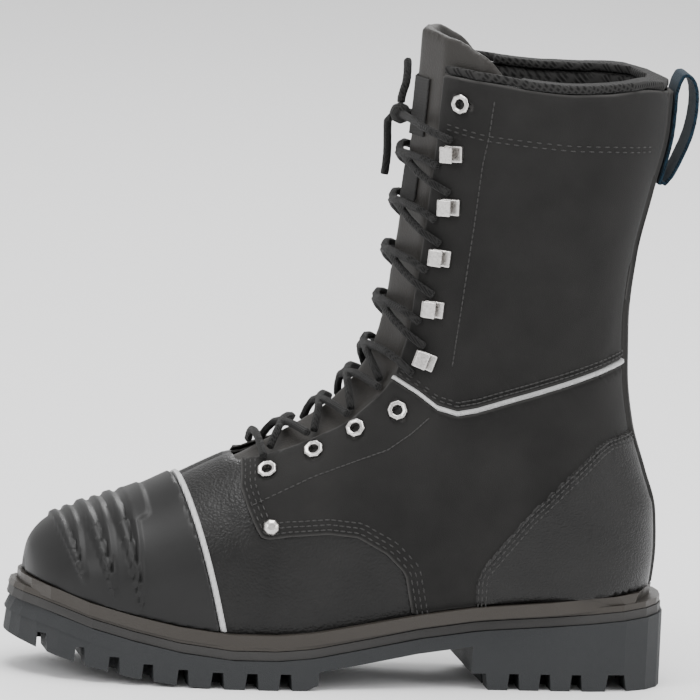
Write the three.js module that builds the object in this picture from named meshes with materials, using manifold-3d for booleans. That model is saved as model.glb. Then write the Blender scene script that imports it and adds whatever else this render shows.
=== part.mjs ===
// Left metatarsal guard boot: a ten inch lace-up work boot with a ribbed rubber toe cap.
// Millimetres, +Z up. The origin is on the floor under the middle of the heel,
// the toe points to -X and the outer side of the foot faces -Y.
import * as THREE from 'three';
import { mergeVertices } from 'three/addons/utils/BufferGeometryUtils.js';
import Module from 'manifold-3d';

const wasm = await Module();
wasm.setup();

// Driving sizes
const SOLE_LENGTH = 318;
const HEEL_BACK = 41;
const BALL_WIDTH = 106;
const COLLAR_HEIGHT = 296;
const CLEARANCE = 0.3;

// Thicknesses of the upper's layers
const UPPER_WALL = 2.2;
const PANEL_THICKNESS = 1.5;
const COUNTER_THICKNESS = 2.6;
const BACKSTAY_THICKNESS = 3.1;
const BACKSTAY_HALF = 13;
const CAP_THICKNESS = 2.3;
const RIDGE_RISE = 1.7;
const PLATE_RISE = 1.1;
const STRIP_WIDTH = 3;
const PIPING_WIDTH = 2.4;
const PIPING_RISE = 2.3;
const COLLAR_PAD = 7;
const BINDING_HEIGHT = 4.2;
const TONGUE_THICKNESS = 5.4;
const TONGUE_RISE = 2.4;
const RISE_REACH = 0.7;
const CENTRE_BLEND = 0.1;

// Thicknesses of the bottom
const WELT_THICKNESS = 3;
const BEAD_HEIGHT = 4.6;
const BEAD_WIDTH = 4.2;
const WELT_RING_WIDTH = 22;
const MIDSOLE_THICKNESS = 4.2;
const INSOLE_THICKNESS = 4;
const LUG_DEPTH = 8;
const LUG_RING_WIDTH = 15;
const LUG_CHANNEL = 5;
const CENTRE_CHANNEL = 6;
const CHANNEL_DEPTH = 6;
const ARCH_THICKNESS = 7;
const EDGE_STEP = 1;

// Metal and laces
const EYELET_FLANGE = 5.2;
const EYELET_HOLE = 2.6;
const EYELET_BARREL = 3.1;
const EYELET_RISE = 1;
const EYELET_BEVEL = 0.8;
const EYELET_LIP = 0.7;
const METAL_SEAT = 0.6;
const SEAT_DEPTH = 3;
const HOOK_WIDTH = 8;
const HOOK_LENGTH = 10;
const HOOK_RISE = 6.2;
const HOOK_PLATE = 1.1;
const HOOK_MOUTH = 0.22;
const HOOK_BEND = 1.6;
const RIVET_RADIUS = 4.2;
const RIVET_RISE = 2.2;
const LACE_DIAMETER = 4.4;
const CROSS_STEPS = 8;
const CROSS_SIDES = 5;
const END_STEPS = 8;
const END_SIDES = 6;
const BAR_OVER = 4;
const EDGE_ROOM = 2;
const UNDER_SHIFT = 0.18;
const STRAND_ALONG = 0.3;
const STRAND_ACROSS = 0.45;
const BAR_SHARES = [-1, -0.55, 0, 0.55, 1];
const KNOT_RADIUS = 5.5;
const KNOT_Y = 6;
const KNOT_LIFT = 0.35;
const KNOT_STRAND = 0.55;
const LOOP_WIDTH = 22;
const LOOP_THICKNESS = 1.8;
const LOOP_STEPS = 24;
const PATCH_RISE = 0.8;
const PATCH_HALF = 14;

// The ribs of the last, from the toe round the heel to the collar. Each runs from a base point
// at the sole or the back of the heel to a top point on the instep or the front of the shaft.
// Places are shares of the sole length and collar height, widths shares of the ball width.
const RIBS = [
  { topX: 0.033, topZ: 0.176, baseX: 0.033, baseZ: 0.111, low: 0.377, mid: 0.396, high: 0.377, crown: 0.21 },
  { topX: 0.039, topZ: 0.203, baseX: 0.041, baseZ: 0.106, low: 0.377, mid: 0.400, high: 0.377, crown: 0.23 },
  { topX: 0.058, topZ: 0.230, baseX: 0.060, baseZ: 0.098, low: 0.377, mid: 0.405, high: 0.377, crown: 0.25 },
  { topX: 0.085, topZ: 0.247, baseX: 0.091, baseZ: 0.090, low: 0.385, mid: 0.415, high: 0.377, crown: 0.27 },
  { topX: 0.132, topZ: 0.266, baseX: 0.142, baseZ: 0.073, low: 0.396, mid: 0.430, high: 0.377, crown: 0.31 },
  { topX: 0.189, topZ: 0.288, baseX: 0.198, baseZ: 0.056, low: 0.408, mid: 0.445, high: 0.375, crown: 0.36 },
  { topX: 0.245, topZ: 0.318, baseX: 0.261, baseZ: 0.042, low: 0.417, mid: 0.455, high: 0.370, crown: 0.41 },
  { topX: 0.302, topZ: 0.350, baseX: 0.327, baseZ: 0.035, low: 0.420, mid: 0.457, high: 0.355, crown: 0.43 },
  { topX: 0.358, topZ: 0.378, baseX: 0.393, baseZ: 0.037, low: 0.412, mid: 0.445, high: 0.330, crown: 0.40 },
  { topX: 0.412, topZ: 0.405, baseX: 0.462, baseZ: 0.046, low: 0.390, mid: 0.422, high: 0.312, crown: 0.35 },
  { topX: 0.453, topZ: 0.431, baseX: 0.538, baseZ: 0.061, low: 0.362, mid: 0.395, high: 0.305, crown: 0.32 },
  { topX: 0.481, topZ: 0.454, baseX: 0.613, baseZ: 0.074, low: 0.343, mid: 0.378, high: 0.312, crown: 0.32 },
  { topX: 0.503, topZ: 0.480, baseX: 0.701, baseZ: 0.084, low: 0.332, mid: 0.367, high: 0.322, crown: 0.32 },
  { topX: 0.523, topZ: 0.507, baseX: 0.789, baseZ: 0.091, low: 0.332, mid: 0.360, high: 0.330, crown: 0.33 },
  { topX: 0.534, topZ: 0.532, baseX: 0.884, baseZ: 0.098, low: 0.335, mid: 0.358, high: 0.335, crown: 0.34 },
  { topX: 0.542, topZ: 0.556, baseX: 0.947, baseZ: 0.105, low: 0.335, mid: 0.358, high: 0.340, crown: 0.34 },
  { topX: 0.547, topZ: 0.578, baseX: 0.969, baseZ: 0.149, low: 0.335, mid: 0.358, high: 0.345, crown: 0.34 },
  { topX: 0.552, topZ: 0.598, baseX: 0.975, baseZ: 0.223, low: 0.340, mid: 0.358, high: 0.348, crown: 0.34 },
  { topX: 0.556, topZ: 0.628, baseX: 0.972, baseZ: 0.284, low: 0.349, mid: 0.358, high: 0.350, crown: 0.34 },
  { topX: 0.560, topZ: 0.662, baseX: 0.953, baseZ: 0.351, low: 0.358, mid: 0.362, high: 0.354, crown: 0.34 },
  { topX: 0.566, topZ: 0.713, baseX: 0.931, baseZ: 0.426, low: 0.358, mid: 0.363, high: 0.358, crown: 0.34 },
  { topX: 0.572, topZ: 0.770, baseX: 0.920, baseZ: 0.507, low: 0.358, mid: 0.368, high: 0.364, crown: 0.35 },
  { topX: 0.577, topZ: 0.825, baseX: 0.917, baseZ: 0.600, low: 0.363, mid: 0.380, high: 0.378, crown: 0.36 },
  { topX: 0.582, topZ: 0.880, baseX: 0.925, baseZ: 0.705, low: 0.387, mid: 0.406, high: 0.398, crown: 0.38 },
  { topX: 0.586, topZ: 0.935, baseX: 0.945, baseZ: 0.810, low: 0.415, mid: 0.434, high: 0.425, crown: 0.40 },
  { topX: 0.589, topZ: 0.990, baseX: 0.965, baseZ: 0.915, low: 0.439, mid: 0.453, high: 0.448, crown: 0.42 },
  { topX: 0.592, topZ: 1.075, baseX: 0.970, baseZ: 1.050, low: 0.448, mid: 0.462, high: 0.462, crown: 0.43 },
];
const FIRST_BACK_RIB = 16;
const TOE_ROUND = 0.425;
const TOE_POWER = 2.3;
const CROWN_POWER = 2.3;
const BACK_POWER = 2.2;

// How long the rounding of the heel and the back of the shaft is, as shares of the ball width
const BACK_ROUND = [
  { z: 0.12, round: 0.34 },
  { z: 0.26, round: 0.36 },
  { z: 0.41, round: 0.43 },
  { z: 0.56, round: 0.51 },
  { z: 1.05, round: 0.57 },
];

// The curve of the foot's middle line towards the big toe, and its fade up the shaft
const MIDDLE = [
  { x: 0.00, shift: 0.066 },
  { x: 0.08, shift: 0.038 },
  { x: 0.14, shift: 0.026 },
  { x: 0.22, shift: 0.012 },
  { x: 0.30, shift: -0.005 },
  { x: 0.37, shift: -0.021 },
  { x: 0.46, shift: -0.040 },
  { x: 0.55, shift: -0.045 },
  { x: 0.645, shift: -0.033 },
  { x: 0.74, shift: -0.019 },
  { x: 0.835, shift: -0.007 },
  { x: 0.92, shift: 0 },
  { x: 1.00, shift: 0 },
];
const MIDDLE_FADE_FROM = 0.30;
const MIDDLE_FADE_TO = 0.54;

// The sole's half width, and the heights of the welt's top along the sole
const SOLE_PLAN = [
  { x: 0.00, half: 0.345 },
  { x: 0.08, half: 0.400 },
  { x: 0.142, half: 0.437 },
  { x: 0.22, half: 0.479 },
  { x: 0.30, half: 0.495 },
  { x: 0.37, half: 0.488 },
  { x: 0.46, half: 0.450 },
  { x: 0.55, half: 0.394 },
  { x: 0.645, half: 0.354 },
  { x: 0.74, half: 0.344 },
  { x: 0.835, half: 0.356 },
  { x: 1.00, half: 0.356 },
];
const SOLE_TOE_ROUND = 0.47;
const SOLE_HEEL_ROUND = 0.36;
const WELT_TOP = [
  { x: 0.00, z: 0.145 },
  { x: 0.05, z: 0.135 },
  { x: 0.10, z: 0.118 },
  { x: 0.16, z: 0.102 },
  { x: 0.22, z: 0.088 },
  { x: 0.28, z: 0.078 },
  { x: 0.34, z: 0.073 },
  { x: 0.40, z: 0.074 },
  { x: 0.46, z: 0.081 },
  { x: 0.55, z: 0.098 },
  { x: 0.62, z: 0.111 },
  { x: 0.70, z: 0.122 },
  { x: 0.80, z: 0.130 },
  { x: 0.87, z: 0.136 },
  { x: 0.95, z: 0.144 },
  { x: 1.00, z: 0.149 },
];

// The underside: toe spring, forefoot block, arch and heel block
const TOE_SPRING = 0.0595;
const SPRING_START = 0.32;
const FOREFOOT_END = 0.455;
const FOREFOOT_CHAMFER = 0.018;
const HEEL_FRONT = 0.695;
const HEEL_SLANT = 0.022;
const HEEL_STEP = 0.004;
const TOE_FLARE = 3;
const FOREFOOT_CHANNEL = { from: 0, to: 0.445 };
const HEEL_CHANNEL = { from: 0.73, to: 1 };
const CENTRE_CUTS = [0.10, 0.18, 0.26, 0.34, 0.41, 0.79, 0.925];
const NOTCH_TAPER = 0.7;
const FOREFOOT_NOTCHES = [
  { x: 0.045, width: 4 },
  { x: 0.098, width: 4 },
  { x: 0.148, width: 4.5 },
  { x: 0.198, width: 4.5 },
  { x: 0.250, width: 4.5 },
  { x: 0.302, width: 5 },
  { x: 0.354, width: 5 },
  { x: 0.405, width: 5 },
];
const HEEL_NOTCHES = [
  { x: 0.760, width: 4.5 },
  { x: 0.808, width: 4.5 },
  { x: 0.856, width: 4.5 },
  { x: 0.918, width: 8 },
];

// Half the width of the throat, by rib
const THROAT = [
  { rib: 7.5, half: 0.10 },
  { rib: 7.8, half: 0.17 },
  { rib: 8.2, half: 0.19 },
  { rib: 10, half: 0.225 },
  { rib: 12, half: 0.255 },
  { rib: 15, half: 0.275 },
  { rib: 21, half: 0.275 },
  { rib: 26, half: 0.295 },
];

// Side outlines of the panels, as shares of the sole length and collar height
const COLLAR_LINE = [
  { x: 0.55, z: 1.022 },
  { x: 0.611, z: 1.017 },
  { x: 0.686, z: 1.010 },
  { x: 0.742, z: 1.001 },
  { x: 0.80, z: 0.996 },
  { x: 0.86, z: 0.997 },
  { x: 0.915, z: 1.001 },
  { x: 0.965, z: 0.992 },
  { x: 1.00, z: 0.985 },
];
const QUARTER_FRONT = [
  [0.352, 0.440], [0.341, 0.369], [0.333, 0.320], [0.341, 0.290], [0.352, 0.262], [0.361, 0.246],
  [0.373, 0.244], [0.403, 0.249], [0.463, 0.254], [0.508, 0.249], [0.554, 0.222], [0.583, 0.191], [0.602, 0.100],
];
const SHAFT_SEAM = [
  [0.560, 0.505], [0.594, 0.484], [0.623, 0.461], [0.654, 0.452], [0.683, 0.458],
  [0.787, 0.493], [0.854, 0.515], [0.900, 0.529], [1.000, 0.552],
];
const COUNTER_EDGE = [
  [0.692, 0.100], [0.692, 0.178], [0.695, 0.195], [0.710, 0.216], [0.764, 0.287],
  [0.826, 0.354], [0.869, 0.400], [0.884, 0.411], [0.930, 0.420], [1.000, 0.420],
];
const CAP_EDGE = [[0.239, 0.40], [0.243, 0.330], [0.262, 0.260], [0.288, 0.160], [0.312, 0.060]];
const PAD_FRONT = [[0.735, 1.10], [0.725, 0.99], [0.700, 0.86], [0.685, 0.74], [0.684, 0.73]];
const TONGUE_SIDE = [
  [0.300, 0.300], [0.385, 0.325], [0.475, 0.375], [0.560, 0.450], [0.622, 0.560], [0.640, 0.680],
  [0.655, 0.810], [0.690, 0.945], [0.708, 0.993], [0.679, 1.032], [0.635, 1.058], [0.580, 1.068], [0.480, 1.068],
];
const LOW_EYELETS = [[0.374, 0.346], [0.443, 0.381], [0.505, 0.419], [0.565, 0.453]];
const TOP_EYELET = [[0.639, 0.958]];
const HOOKS = [[0.604, 0.536], [0.614, 0.621], [0.621, 0.705], [0.631, 0.789], [0.633, 0.876]];
const RIVET_PLACE = [0.375, 0.263];

// The lace ends, from the knot: ribs up the throat, distance across and height over the laces
const LACE_ENDS = [
  [[0.50, 2, 2], [0.90, 5, 0.5], [1.25, 10, 0.5], [1.45, 15, 1.5]],
  [[-0.20, 3, 7], [-0.75, 6, 6.5], [-1.35, 9, 5.5], [-1.90, 9, 5.5]],
];
const RIDGES = [
  { top: [0.066, 0.262], tip: [0.106, 0.158], width: 7.5, tipHalf: 1.2 },
  { top: [0.108, 0.276], tip: [0.149, 0.137], width: 7.5, tipHalf: 1.2 },
  { top: [0.150, 0.290], tip: [0.188, 0.121], width: 7.5, tipHalf: 1.2 },
];
const PATCHES = [
  { name: 'upper', from: 0.89, to: 0.985 },
  { name: 'lower', from: 0.785, to: 0.838 },
];
const PATCH_FRONT = 0.50;
const PATCH_BEHIND = 0.64;

// The pull loop: heights of its sewn part, then millimetres behind and above the sewn part's end
const LOOP_SEAT = [0.82, 0.86, 0.90, 0.94, 0.972];
const LOOP_ARCH = [[3, 2.5], [7, 1.5], [9.6, -4], [10, -14], [8, -26], [3.8, -37], [-0.5, -46]];
const PLATE_OUTLINE = [[0.166, 0.40], [0.168, 0.262], [0.172, 0.247], [0.201, 0.262], [0.203, 0.275], [0.204, 0.40]];

// Places beyond every edge of the boot, for the cutters
const FAR_BACK = 1.15;
const FAR_UP = 1.25;
const FAR_FRONT = -0.1;
const SLOT_INSIDE = 0.6;
const SLOT_OUTSIDE = 1.3;
const SLOT_STEP = 1;
const BACKSTAY_FROM = 0.8;
const SEAM_BEHIND = 0.58;
const HALF_GAP = 0.1;
const CREST_LIMIT = 0.97;
const NORMAL_STEP = 0.02;

const mm = (share) => share * SOLE_LENGTH + HEEL_BACK - SOLE_LENGTH;
const up = (share) => share * COLLAR_HEIGHT;
const wide = (share) => share * BALL_WIDTH;
const toFrame = (outline) => outline.map(([x, z]) => [mm(x), up(z)]);
const lerp = (a, b, t) => a + (b - a) * t;

// A curve through the rows of a table that never overshoots them
function curve(rows, at, column) {
  const x = rows.map((row, i) => (at === null ? i : row[at]));
  const y = rows.map((row) => row[column]);
  const steps = x.slice(1).map((value, i) => (y[i + 1] - y[i]) / (value - x[i]));
  const slope = x.map((_, i) => {
    const before = steps[Math.max(i - 1, 0)];
    const after = steps[Math.min(i, steps.length - 1)];
    return before * after <= 0 ? 0 : (2 * before * after) / (before + after);
  });
  return (value) => {
    const last = x.length - 2;
    const found = x.findIndex((edge, i) => i > 0 && value < edge);
    const i = found < 0 ? last : found - 1;
    const h = x[i + 1] - x[i];
    const t = Math.min(Math.max((value - x[i]) / h, 0), 1);
    const s = 1 - t;
    return y[i] * s * s * (1 + 2 * t) + y[i + 1] * t * t * (3 - 2 * t)
      + h * t * s * (slope[i] * s - slope[i + 1] * t);
  };
}

// A quarter of a superellipse: 0 at the edge, 1 from the distance where the rounding ends
const rounding = (t, power) => (1 - (1 - Math.min(Math.max(t, 0), 1)) ** power) ** (1 / power);
const smooth = (from, to, value) => {
  const t = Math.min(Math.max((value - from) / (to - from), 0), 1);
  return t * t * (3 - 2 * t);
};

const rib = Object.fromEntries(Object.keys(RIBS[0]).map((name) => [name, curve(RIBS, null, name)]));
const backRibs = RIBS.slice(FIRST_BACK_RIB);
const backLine = curve(backRibs, 'baseZ', 'baseX');
const backRound = curve(BACK_ROUND, 'z', 'round');
const middleShift = curve(MIDDLE, 'x', 'shift');
const collarLine = curve(COLLAR_LINE, 'x', 'z');
const throatHalf = curve(THROAT, 'rib', 'half');
const solePlan = curve(SOLE_PLAN, 'x', 'half');
const weltTopShare = curve(WELT_TOP, 'x', 'z');
const shareX = (x) => (x - HEEL_BACK + SOLE_LENGTH) / SOLE_LENGTH;
const middle = (x, z) => wide(middleShift(shareX(x))) * (1 - smooth(up(MIDDLE_FADE_FROM), up(MIDDLE_FADE_TO), z));
const TOE_LINE = mm(RIBS[0].topX) - CLEARANCE;

// A point of the side view: rib number, and share of the way from its base to its top
function sidePoint(u, v) {
  return [mm(lerp(rib.baseX(u), rib.topX(u), v)), up(lerp(rib.baseZ(u), rib.topZ(u), v))];
}

// Half the width of the upper there
function halfWidth(u, v) {
  const [x, z] = sidePoint(u, v);
  const ribLength = Math.hypot(mm(rib.topX(u)) - mm(rib.baseX(u)), up(rib.topZ(u)) - up(rib.baseZ(u)));
  const low = rib.low(u);
  const high = rib.high(u);
  const width = lerp(lerp(low, rib.mid(u), v * 2), lerp(rib.mid(u), high, v * 2 - 1), v);
  const crown = rounding(((1 - v) * ribLength) / wide(rib.crown(u)), CROWN_POWER);
  const back = rounding((mm(backLine(z / COLLAR_HEIGHT)) - x) / wide(backRound(z / COLLAR_HEIGHT)), BACK_POWER);
  const toe = rounding((x - TOE_LINE) / wide(TOE_ROUND), TOE_POWER);
  return wide(width) * crown * back * toe;
}

// Closed meshes and solids
function solidOf(positions, indices) {
  const geometry = new THREE.BufferGeometry();
  geometry.setAttribute('position', new THREE.Float32BufferAttribute(positions.flat(), 3));
  geometry.setIndex(indices.flat());
  return toSolid(geometry);
}

function toSolid(source) {
  const bare = source.clone();
  bare.deleteAttribute('normal');
  bare.deleteAttribute('uv');
  const merged = mergeVertices(bare, 1e-4);
  const index = Array.from(merged.index.array);
  const triangles = [];
  for (let i = 0; i < index.length; i += 3) {
    const [a, b, c] = index.slice(i, i + 3);
    if (a !== b && b !== c && c !== a) triangles.push(a, b, c);
  }
  const mesh = new wasm.Mesh({
    numProp: 3,
    vertProperties: new Float32Array(merged.attributes.position.array),
    triVerts: new Uint32Array(triangles),
  });
  return new wasm.Manifold(mesh);
}

function toGeometry(solid) {
  const { vertProperties, triVerts } = solid.getMesh();
  const geometry = new THREE.BufferGeometry();
  geometry.setAttribute('position', new THREE.Float32BufferAttribute(vertProperties, 3));
  geometry.setIndex(Array.from(triVerts));
  const flat = geometry.toNonIndexed();
  flat.computeVertexNormals();
  return flat;
}

// A closed skin over rings of equal length: quads between rings, and a fan of strips at both ends
function skin(rings) {
  const count = rings[0].length;
  const positions = rings.flat();
  const indices = [];
  for (let j = 0; j + 1 < rings.length; j += 1) {
    for (let i = 0; i < count; i += 1) {
      const a = j * count + i;
      const b = j * count + ((i + 1) % count);
      indices.push([a, a + count, b], [b, a + count, b + count]);
    }
  }
  const end = (rings.length - 1) * count;
  for (let i = 1; i * 2 < count; i += 1) {
    const [a, b] = [i - 1, i];
    const [c, d] = [count - i, count - i - 1];
    indices.push([a, b, c], [b, d, c]);
    indices.push([end + a, end + c, end + b], [end + b, end + c, end + d]);
  }
  return solidOf(positions, indices);
}

// The outer form of the upper, moved in or out along its normals
const STATIONS = [
  0, 0.5, 1.2, 2.2, 3.5, 5, 6.4, 7.8, 9.2, 10.6, 12, 13.6, 15.2, 16.4, 18, 19.6, 21.3, 22.8, 24.2, 25.2, 26,
];
const RIB_STEPS = 7;

const baseRings = STATIONS.map((u) => {
  const outer = [];
  const inner = [];
  for (let i = 0; i <= RIB_STEPS; i += 1) {
    const v = (1 - Math.cos((Math.PI * i) / RIB_STEPS)) / 2;
    const [x, z] = sidePoint(u, v);
    const half = halfWidth(u, v);
    const centre = middle(x, z);
    outer.push([x, centre - half, z]);
    if (i < RIB_STEPS) inner.unshift([x, centre + half, z]);
  }
  return [...outer, ...inner];
});

function ringNormals(rings) {
  const count = rings[0].length;
  const sums = new Map();
  const key = (point) => point.map((c) => c.toFixed(3)).join();
  for (let j = 0; j + 1 < rings.length; j += 1) {
    for (let i = 0; i < count; i += 1) {
      const next = (i + 1) % count;
      const corners = [rings[j][i], rings[j][next], rings[j + 1][next], rings[j + 1][i]];
      const [a, b, c, d] = corners.map((point) => new THREE.Vector3(...point));
      const face = c.sub(a).cross(b.sub(d));
      corners.forEach((point) => sums.set(key(point), (sums.get(key(point)) ?? new THREE.Vector3()).add(face)));
    }
  }
  return rings.map((ring) => ring.map((point) => sums.get(key(point)).clone().normalize()));
}

const baseNormals = ringNormals(baseRings);
const formCache = new Map();

// The rise swells the middle of the throat, for the padded tongue
function form(offset, rise = 0) {
  const key = `${offset} ${rise}`;
  if (!formCache.has(key)) {
    const rings = baseRings.map((ring, j) => {
      const reach = wide(throatHalf(STATIONS[j])) * RISE_REACH;
      const full = rise * smooth(THROAT[1].rib, THROAT[2].rib + 1, STATIONS[j]);
      return ring.map(([x, y, z], i) => {
        const n = baseNormals[j][i];
        const front = i > RIB_STEPS / 2 && i < RIB_STEPS * 1.5;
        const share = Math.max(0, 1 - ((y - middle(x, z)) / reach) ** 2);
        const distance = offset + (front ? full * share : 0);
        return [x + n.x * distance, y + n.y * distance, z + n.z * distance];
      });
    });
    formCache.set(key, skin(rings));
  }
  return formCache.get(key);
}

// A layer of the upper between two of its forms
const layer = (from, to, rise = 0) => form(to, rise).subtract(form(from, rise));

// A side outline run across the boot from one side distance to another
function prism(outline, fromY, toY) {
  const shape = new THREE.Shape(outline.map(([x, z]) => new THREE.Vector2(x, z)));
  const block = new THREE.ExtrudeGeometry(shape, { depth: toY - fromY, bevelEnabled: false });
  block.rotateX(Math.PI / 2);
  block.translate(0, toY, 0);
  return toSolid(block);
}

const across = (outline) => prism(outline, -BALL_WIDTH, BALL_WIDTH);
const halfOf = (side) => prism(
  [[mm(FAR_FRONT), -BALL_WIDTH], [mm(FAR_BACK), -BALL_WIDTH], [mm(FAR_BACK), up(FAR_UP)], [mm(FAR_FRONT), up(FAR_UP)]],
  side < 0 ? -BALL_WIDTH : HALF_GAP,
  side < 0 ? -HALF_GAP : BALL_WIDTH,
);

// The sole's outline at a place along it, drawn in from the edge by an inset
const SOLE_STATIONS = [
  0, 0.003, 0.014, 0.034, 0.065, 0.11, 0.17, 0.24, SPRING_START, 0.39, FOREFOOT_END - FOREFOOT_CHAMFER,
  FOREFOOT_END, 0.53, 0.61, HEEL_FRONT, HEEL_FRONT + HEEL_SLANT, HEEL_FRONT + HEEL_SLANT + HEEL_STEP,
  0.81, 0.88, 0.93, 0.967, 0.988, 0.997, 1,
];

function soleHalf(x, inset, toe) {
  const fromToe = (x - toe - inset) / (wide(SOLE_TOE_ROUND) - inset);
  const fromHeel = (HEEL_BACK - inset - x) / (wide(SOLE_HEEL_ROUND) - inset);
  const half = wide(solePlan(shareX(x))) - inset;
  return half * rounding(fromToe, TOE_POWER) * rounding(fromHeel, TOE_POWER);
}

// A slab of the sole between two heights, each a function of the place along it
function slab(inset, low, high, { from = 0, to = 1, flare = 0 } = {}) {
  const toe = HEEL_BACK - SOLE_LENGTH;
  const shares = [from, ...SOLE_STATIONS.filter((s) => s > from && s < to), to];
  const rings = shares.map((s) => {
    const lowX = lerp(toe + inset, HEEL_BACK - inset, s);
    const highX = lerp(toe + inset + flare, HEEL_BACK - inset, s);
    const lowHalf = soleHalf(lowX, inset, toe);
    const highHalf = soleHalf(highX, inset, toe + flare);
    const [lowY, highY] = [middle(lowX, 0), middle(highX, 0)];
    return [
      [lowX, lowY - lowHalf, low(lowX)],
      [highX, highY - highHalf, high(highX)],
      [highX, highY + highHalf, high(highX)],
      [lowX, lowY + lowHalf, low(lowX)],
    ];
  });
  return skin(rings);
}

const weltTop = (x) => up(weltTopShare(shareX(x)));

// A band across the whole boot between two heights above the welt
function bandOver(low, high) {
  const rings = [FAR_FRONT, ...SOLE_STATIONS, FAR_BACK].map((s) => {
    const x = mm(s);
    return [
      [x, -BALL_WIDTH, low(x)], [x, -BALL_WIDTH, high(x)], [x, BALL_WIDTH, high(x)], [x, BALL_WIDTH, low(x)],
    ];
  });
  return skin(rings);
}

const below = (rise) => bandOver(() => -COLLAR_HEIGHT, (x) => weltTop(x) + rise);
const midsoleTop = (x) => weltTop(x) - WELT_THICKNESS - CLEARANCE;
const outsoleTop = (x) => midsoleTop(x) - MIDSOLE_THICKNESS - CLEARANCE;

// Side regions used to cut the panels
const moved = (outline, dx, dz) => toFrame(outline).map(([x, z]) => [x + dx, z + dz]);

function aboveCollar(drop) {
  const line = [];
  for (let s = FAR_FRONT; s < FAR_BACK; s += 0.03) line.push([mm(s), up(collarLine(s)) - drop]);
  return across([...line, [mm(FAR_BACK), up(FAR_UP)], [mm(FAR_FRONT), up(FAR_UP)]]);
}

const inBackstay = (gap) => prism(
  [
    [mm(BACKSTAY_FROM), -COLLAR_HEIGHT], [mm(FAR_BACK), -COLLAR_HEIGHT],
    [mm(FAR_BACK), up(FAR_UP)], [mm(BACKSTAY_FROM), up(FAR_UP)],
  ],
  -BACKSTAY_HALF - gap,
  BACKSTAY_HALF + gap,
);

const seamStart = up(SHAFT_SEAM[0][1]);
const aboveSeam = (dz) => across([
  ...moved(SHAFT_SEAM, 0, dz), [mm(FAR_BACK), up(SEAM_BEHIND)], [mm(FAR_BACK), up(FAR_UP)],
  [mm(FAR_FRONT), up(FAR_UP)], [mm(FAR_FRONT), seamStart],
]);
const belowSeam = (dz) => across([
  ...moved(SHAFT_SEAM, 0, dz), [mm(FAR_BACK), up(SEAM_BEHIND)], [mm(FAR_BACK), -COLLAR_HEIGHT],
  [mm(FAR_FRONT), -COLLAR_HEIGHT], [mm(FAR_FRONT), seamStart],
]);
const behindFront = across([
  ...toFrame(QUARTER_FRONT), [mm(QUARTER_FRONT.at(-1)[0]), -COLLAR_HEIGHT], [mm(FAR_BACK), -COLLAR_HEIGHT],
  [mm(FAR_BACK), up(FAR_UP)], [mm(QUARTER_FRONT[0][0]), up(FAR_UP)],
]);
const inCounter = (grow) => across([
  ...moved(COUNTER_EDGE, -grow, grow), [mm(FAR_BACK), up(COUNTER_EDGE.at(-1)[1]) + grow],
  [mm(FAR_BACK), -COLLAR_HEIGHT], [mm(COUNTER_EDGE[0][0]) - grow, -COLLAR_HEIGHT],
]);
const capEdge = (dx) => across([
  ...moved(CAP_EDGE, dx, 0), [mm(CAP_EDGE.at(-1)[0]) + dx, -COLLAR_HEIGHT],
  [mm(FAR_FRONT), -COLLAR_HEIGHT], [mm(FAR_FRONT), up(CAP_EDGE[0][1])],
]);

// The slot between the eyestays, wider than the upper is thick
function throatCut() {
  const rings = [];
  for (let u = THROAT[0].rib; u < RIBS.length - 1 + SLOT_STEP; u += SLOT_STEP) {
    const half = wide(throatHalf(u));
    const [inX, inZ] = sidePoint(u, SLOT_INSIDE);
    const [outX, outZ] = sidePoint(u, SLOT_OUTSIDE);
    const centre = middle(outX, outZ);
    rings.push([
      [inX, centre - half, inZ], [outX, centre - half, outZ], [outX, centre + half, outZ], [inX, centre + half, inZ],
    ]);
  }
  return skin(rings);
}

// A place on the upper's side, with the directions out of it, towards the throat and up along it
function ribAt(x, z) {
  let [low, high] = [0, RIBS.length - 1];
  for (let i = 0; i < 40; i += 1) {
    const u = (low + high) / 2;
    const [bx, bz] = sidePoint(u, 0);
    const [tx, tz] = sidePoint(u, 1);
    const behind = (tx - bx) * (z - bz) - (tz - bz) * (x - bx) < 0;
    if (behind) low = u;
    else high = u;
  }
  const [bx, bz] = sidePoint(low, 0);
  const [tx, tz] = sidePoint(low, 1);
  const v = ((x - bx) * (tx - bx) + (z - bz) * (tz - bz)) / ((tx - bx) ** 2 + (tz - bz) ** 2);
  return [low, v];
}

function surfacePoint(u, v, side) {
  const [x, z] = sidePoint(u, v);
  return new THREE.Vector3(x, middle(x, z) + side * halfWidth(u, v), z);
}

function surfaceNormal(u, v, side) {
  const along = surfacePoint(u + NORMAL_STEP, v, side).sub(surfacePoint(u - NORMAL_STEP, v, side));
  const above = Math.min(v + NORMAL_STEP, 1 - NORMAL_STEP ** 2);
  const rising = surfacePoint(u, above, side).sub(surfacePoint(u, v - NORMAL_STEP, side));
  return along.cross(rising).multiplyScalar(-side).normalize();
}

function placeOn([shareAlong, shareUp], side, offset) {
  const [u, v] = ribAt(mm(shareAlong), up(shareUp));
  const out = surfaceNormal(u, v, side);
  const at = surfacePoint(u, v, side).addScaledVector(out, offset);
  const inward = new THREE.Vector3(0, -side, 0);
  inward.addScaledVector(out, -inward.dot(out)).normalize();
  const matrix = new THREE.Matrix4().makeBasis(inward, out, inward.clone().cross(out));
  matrix.setPosition(at);
  return matrix;
}

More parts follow.
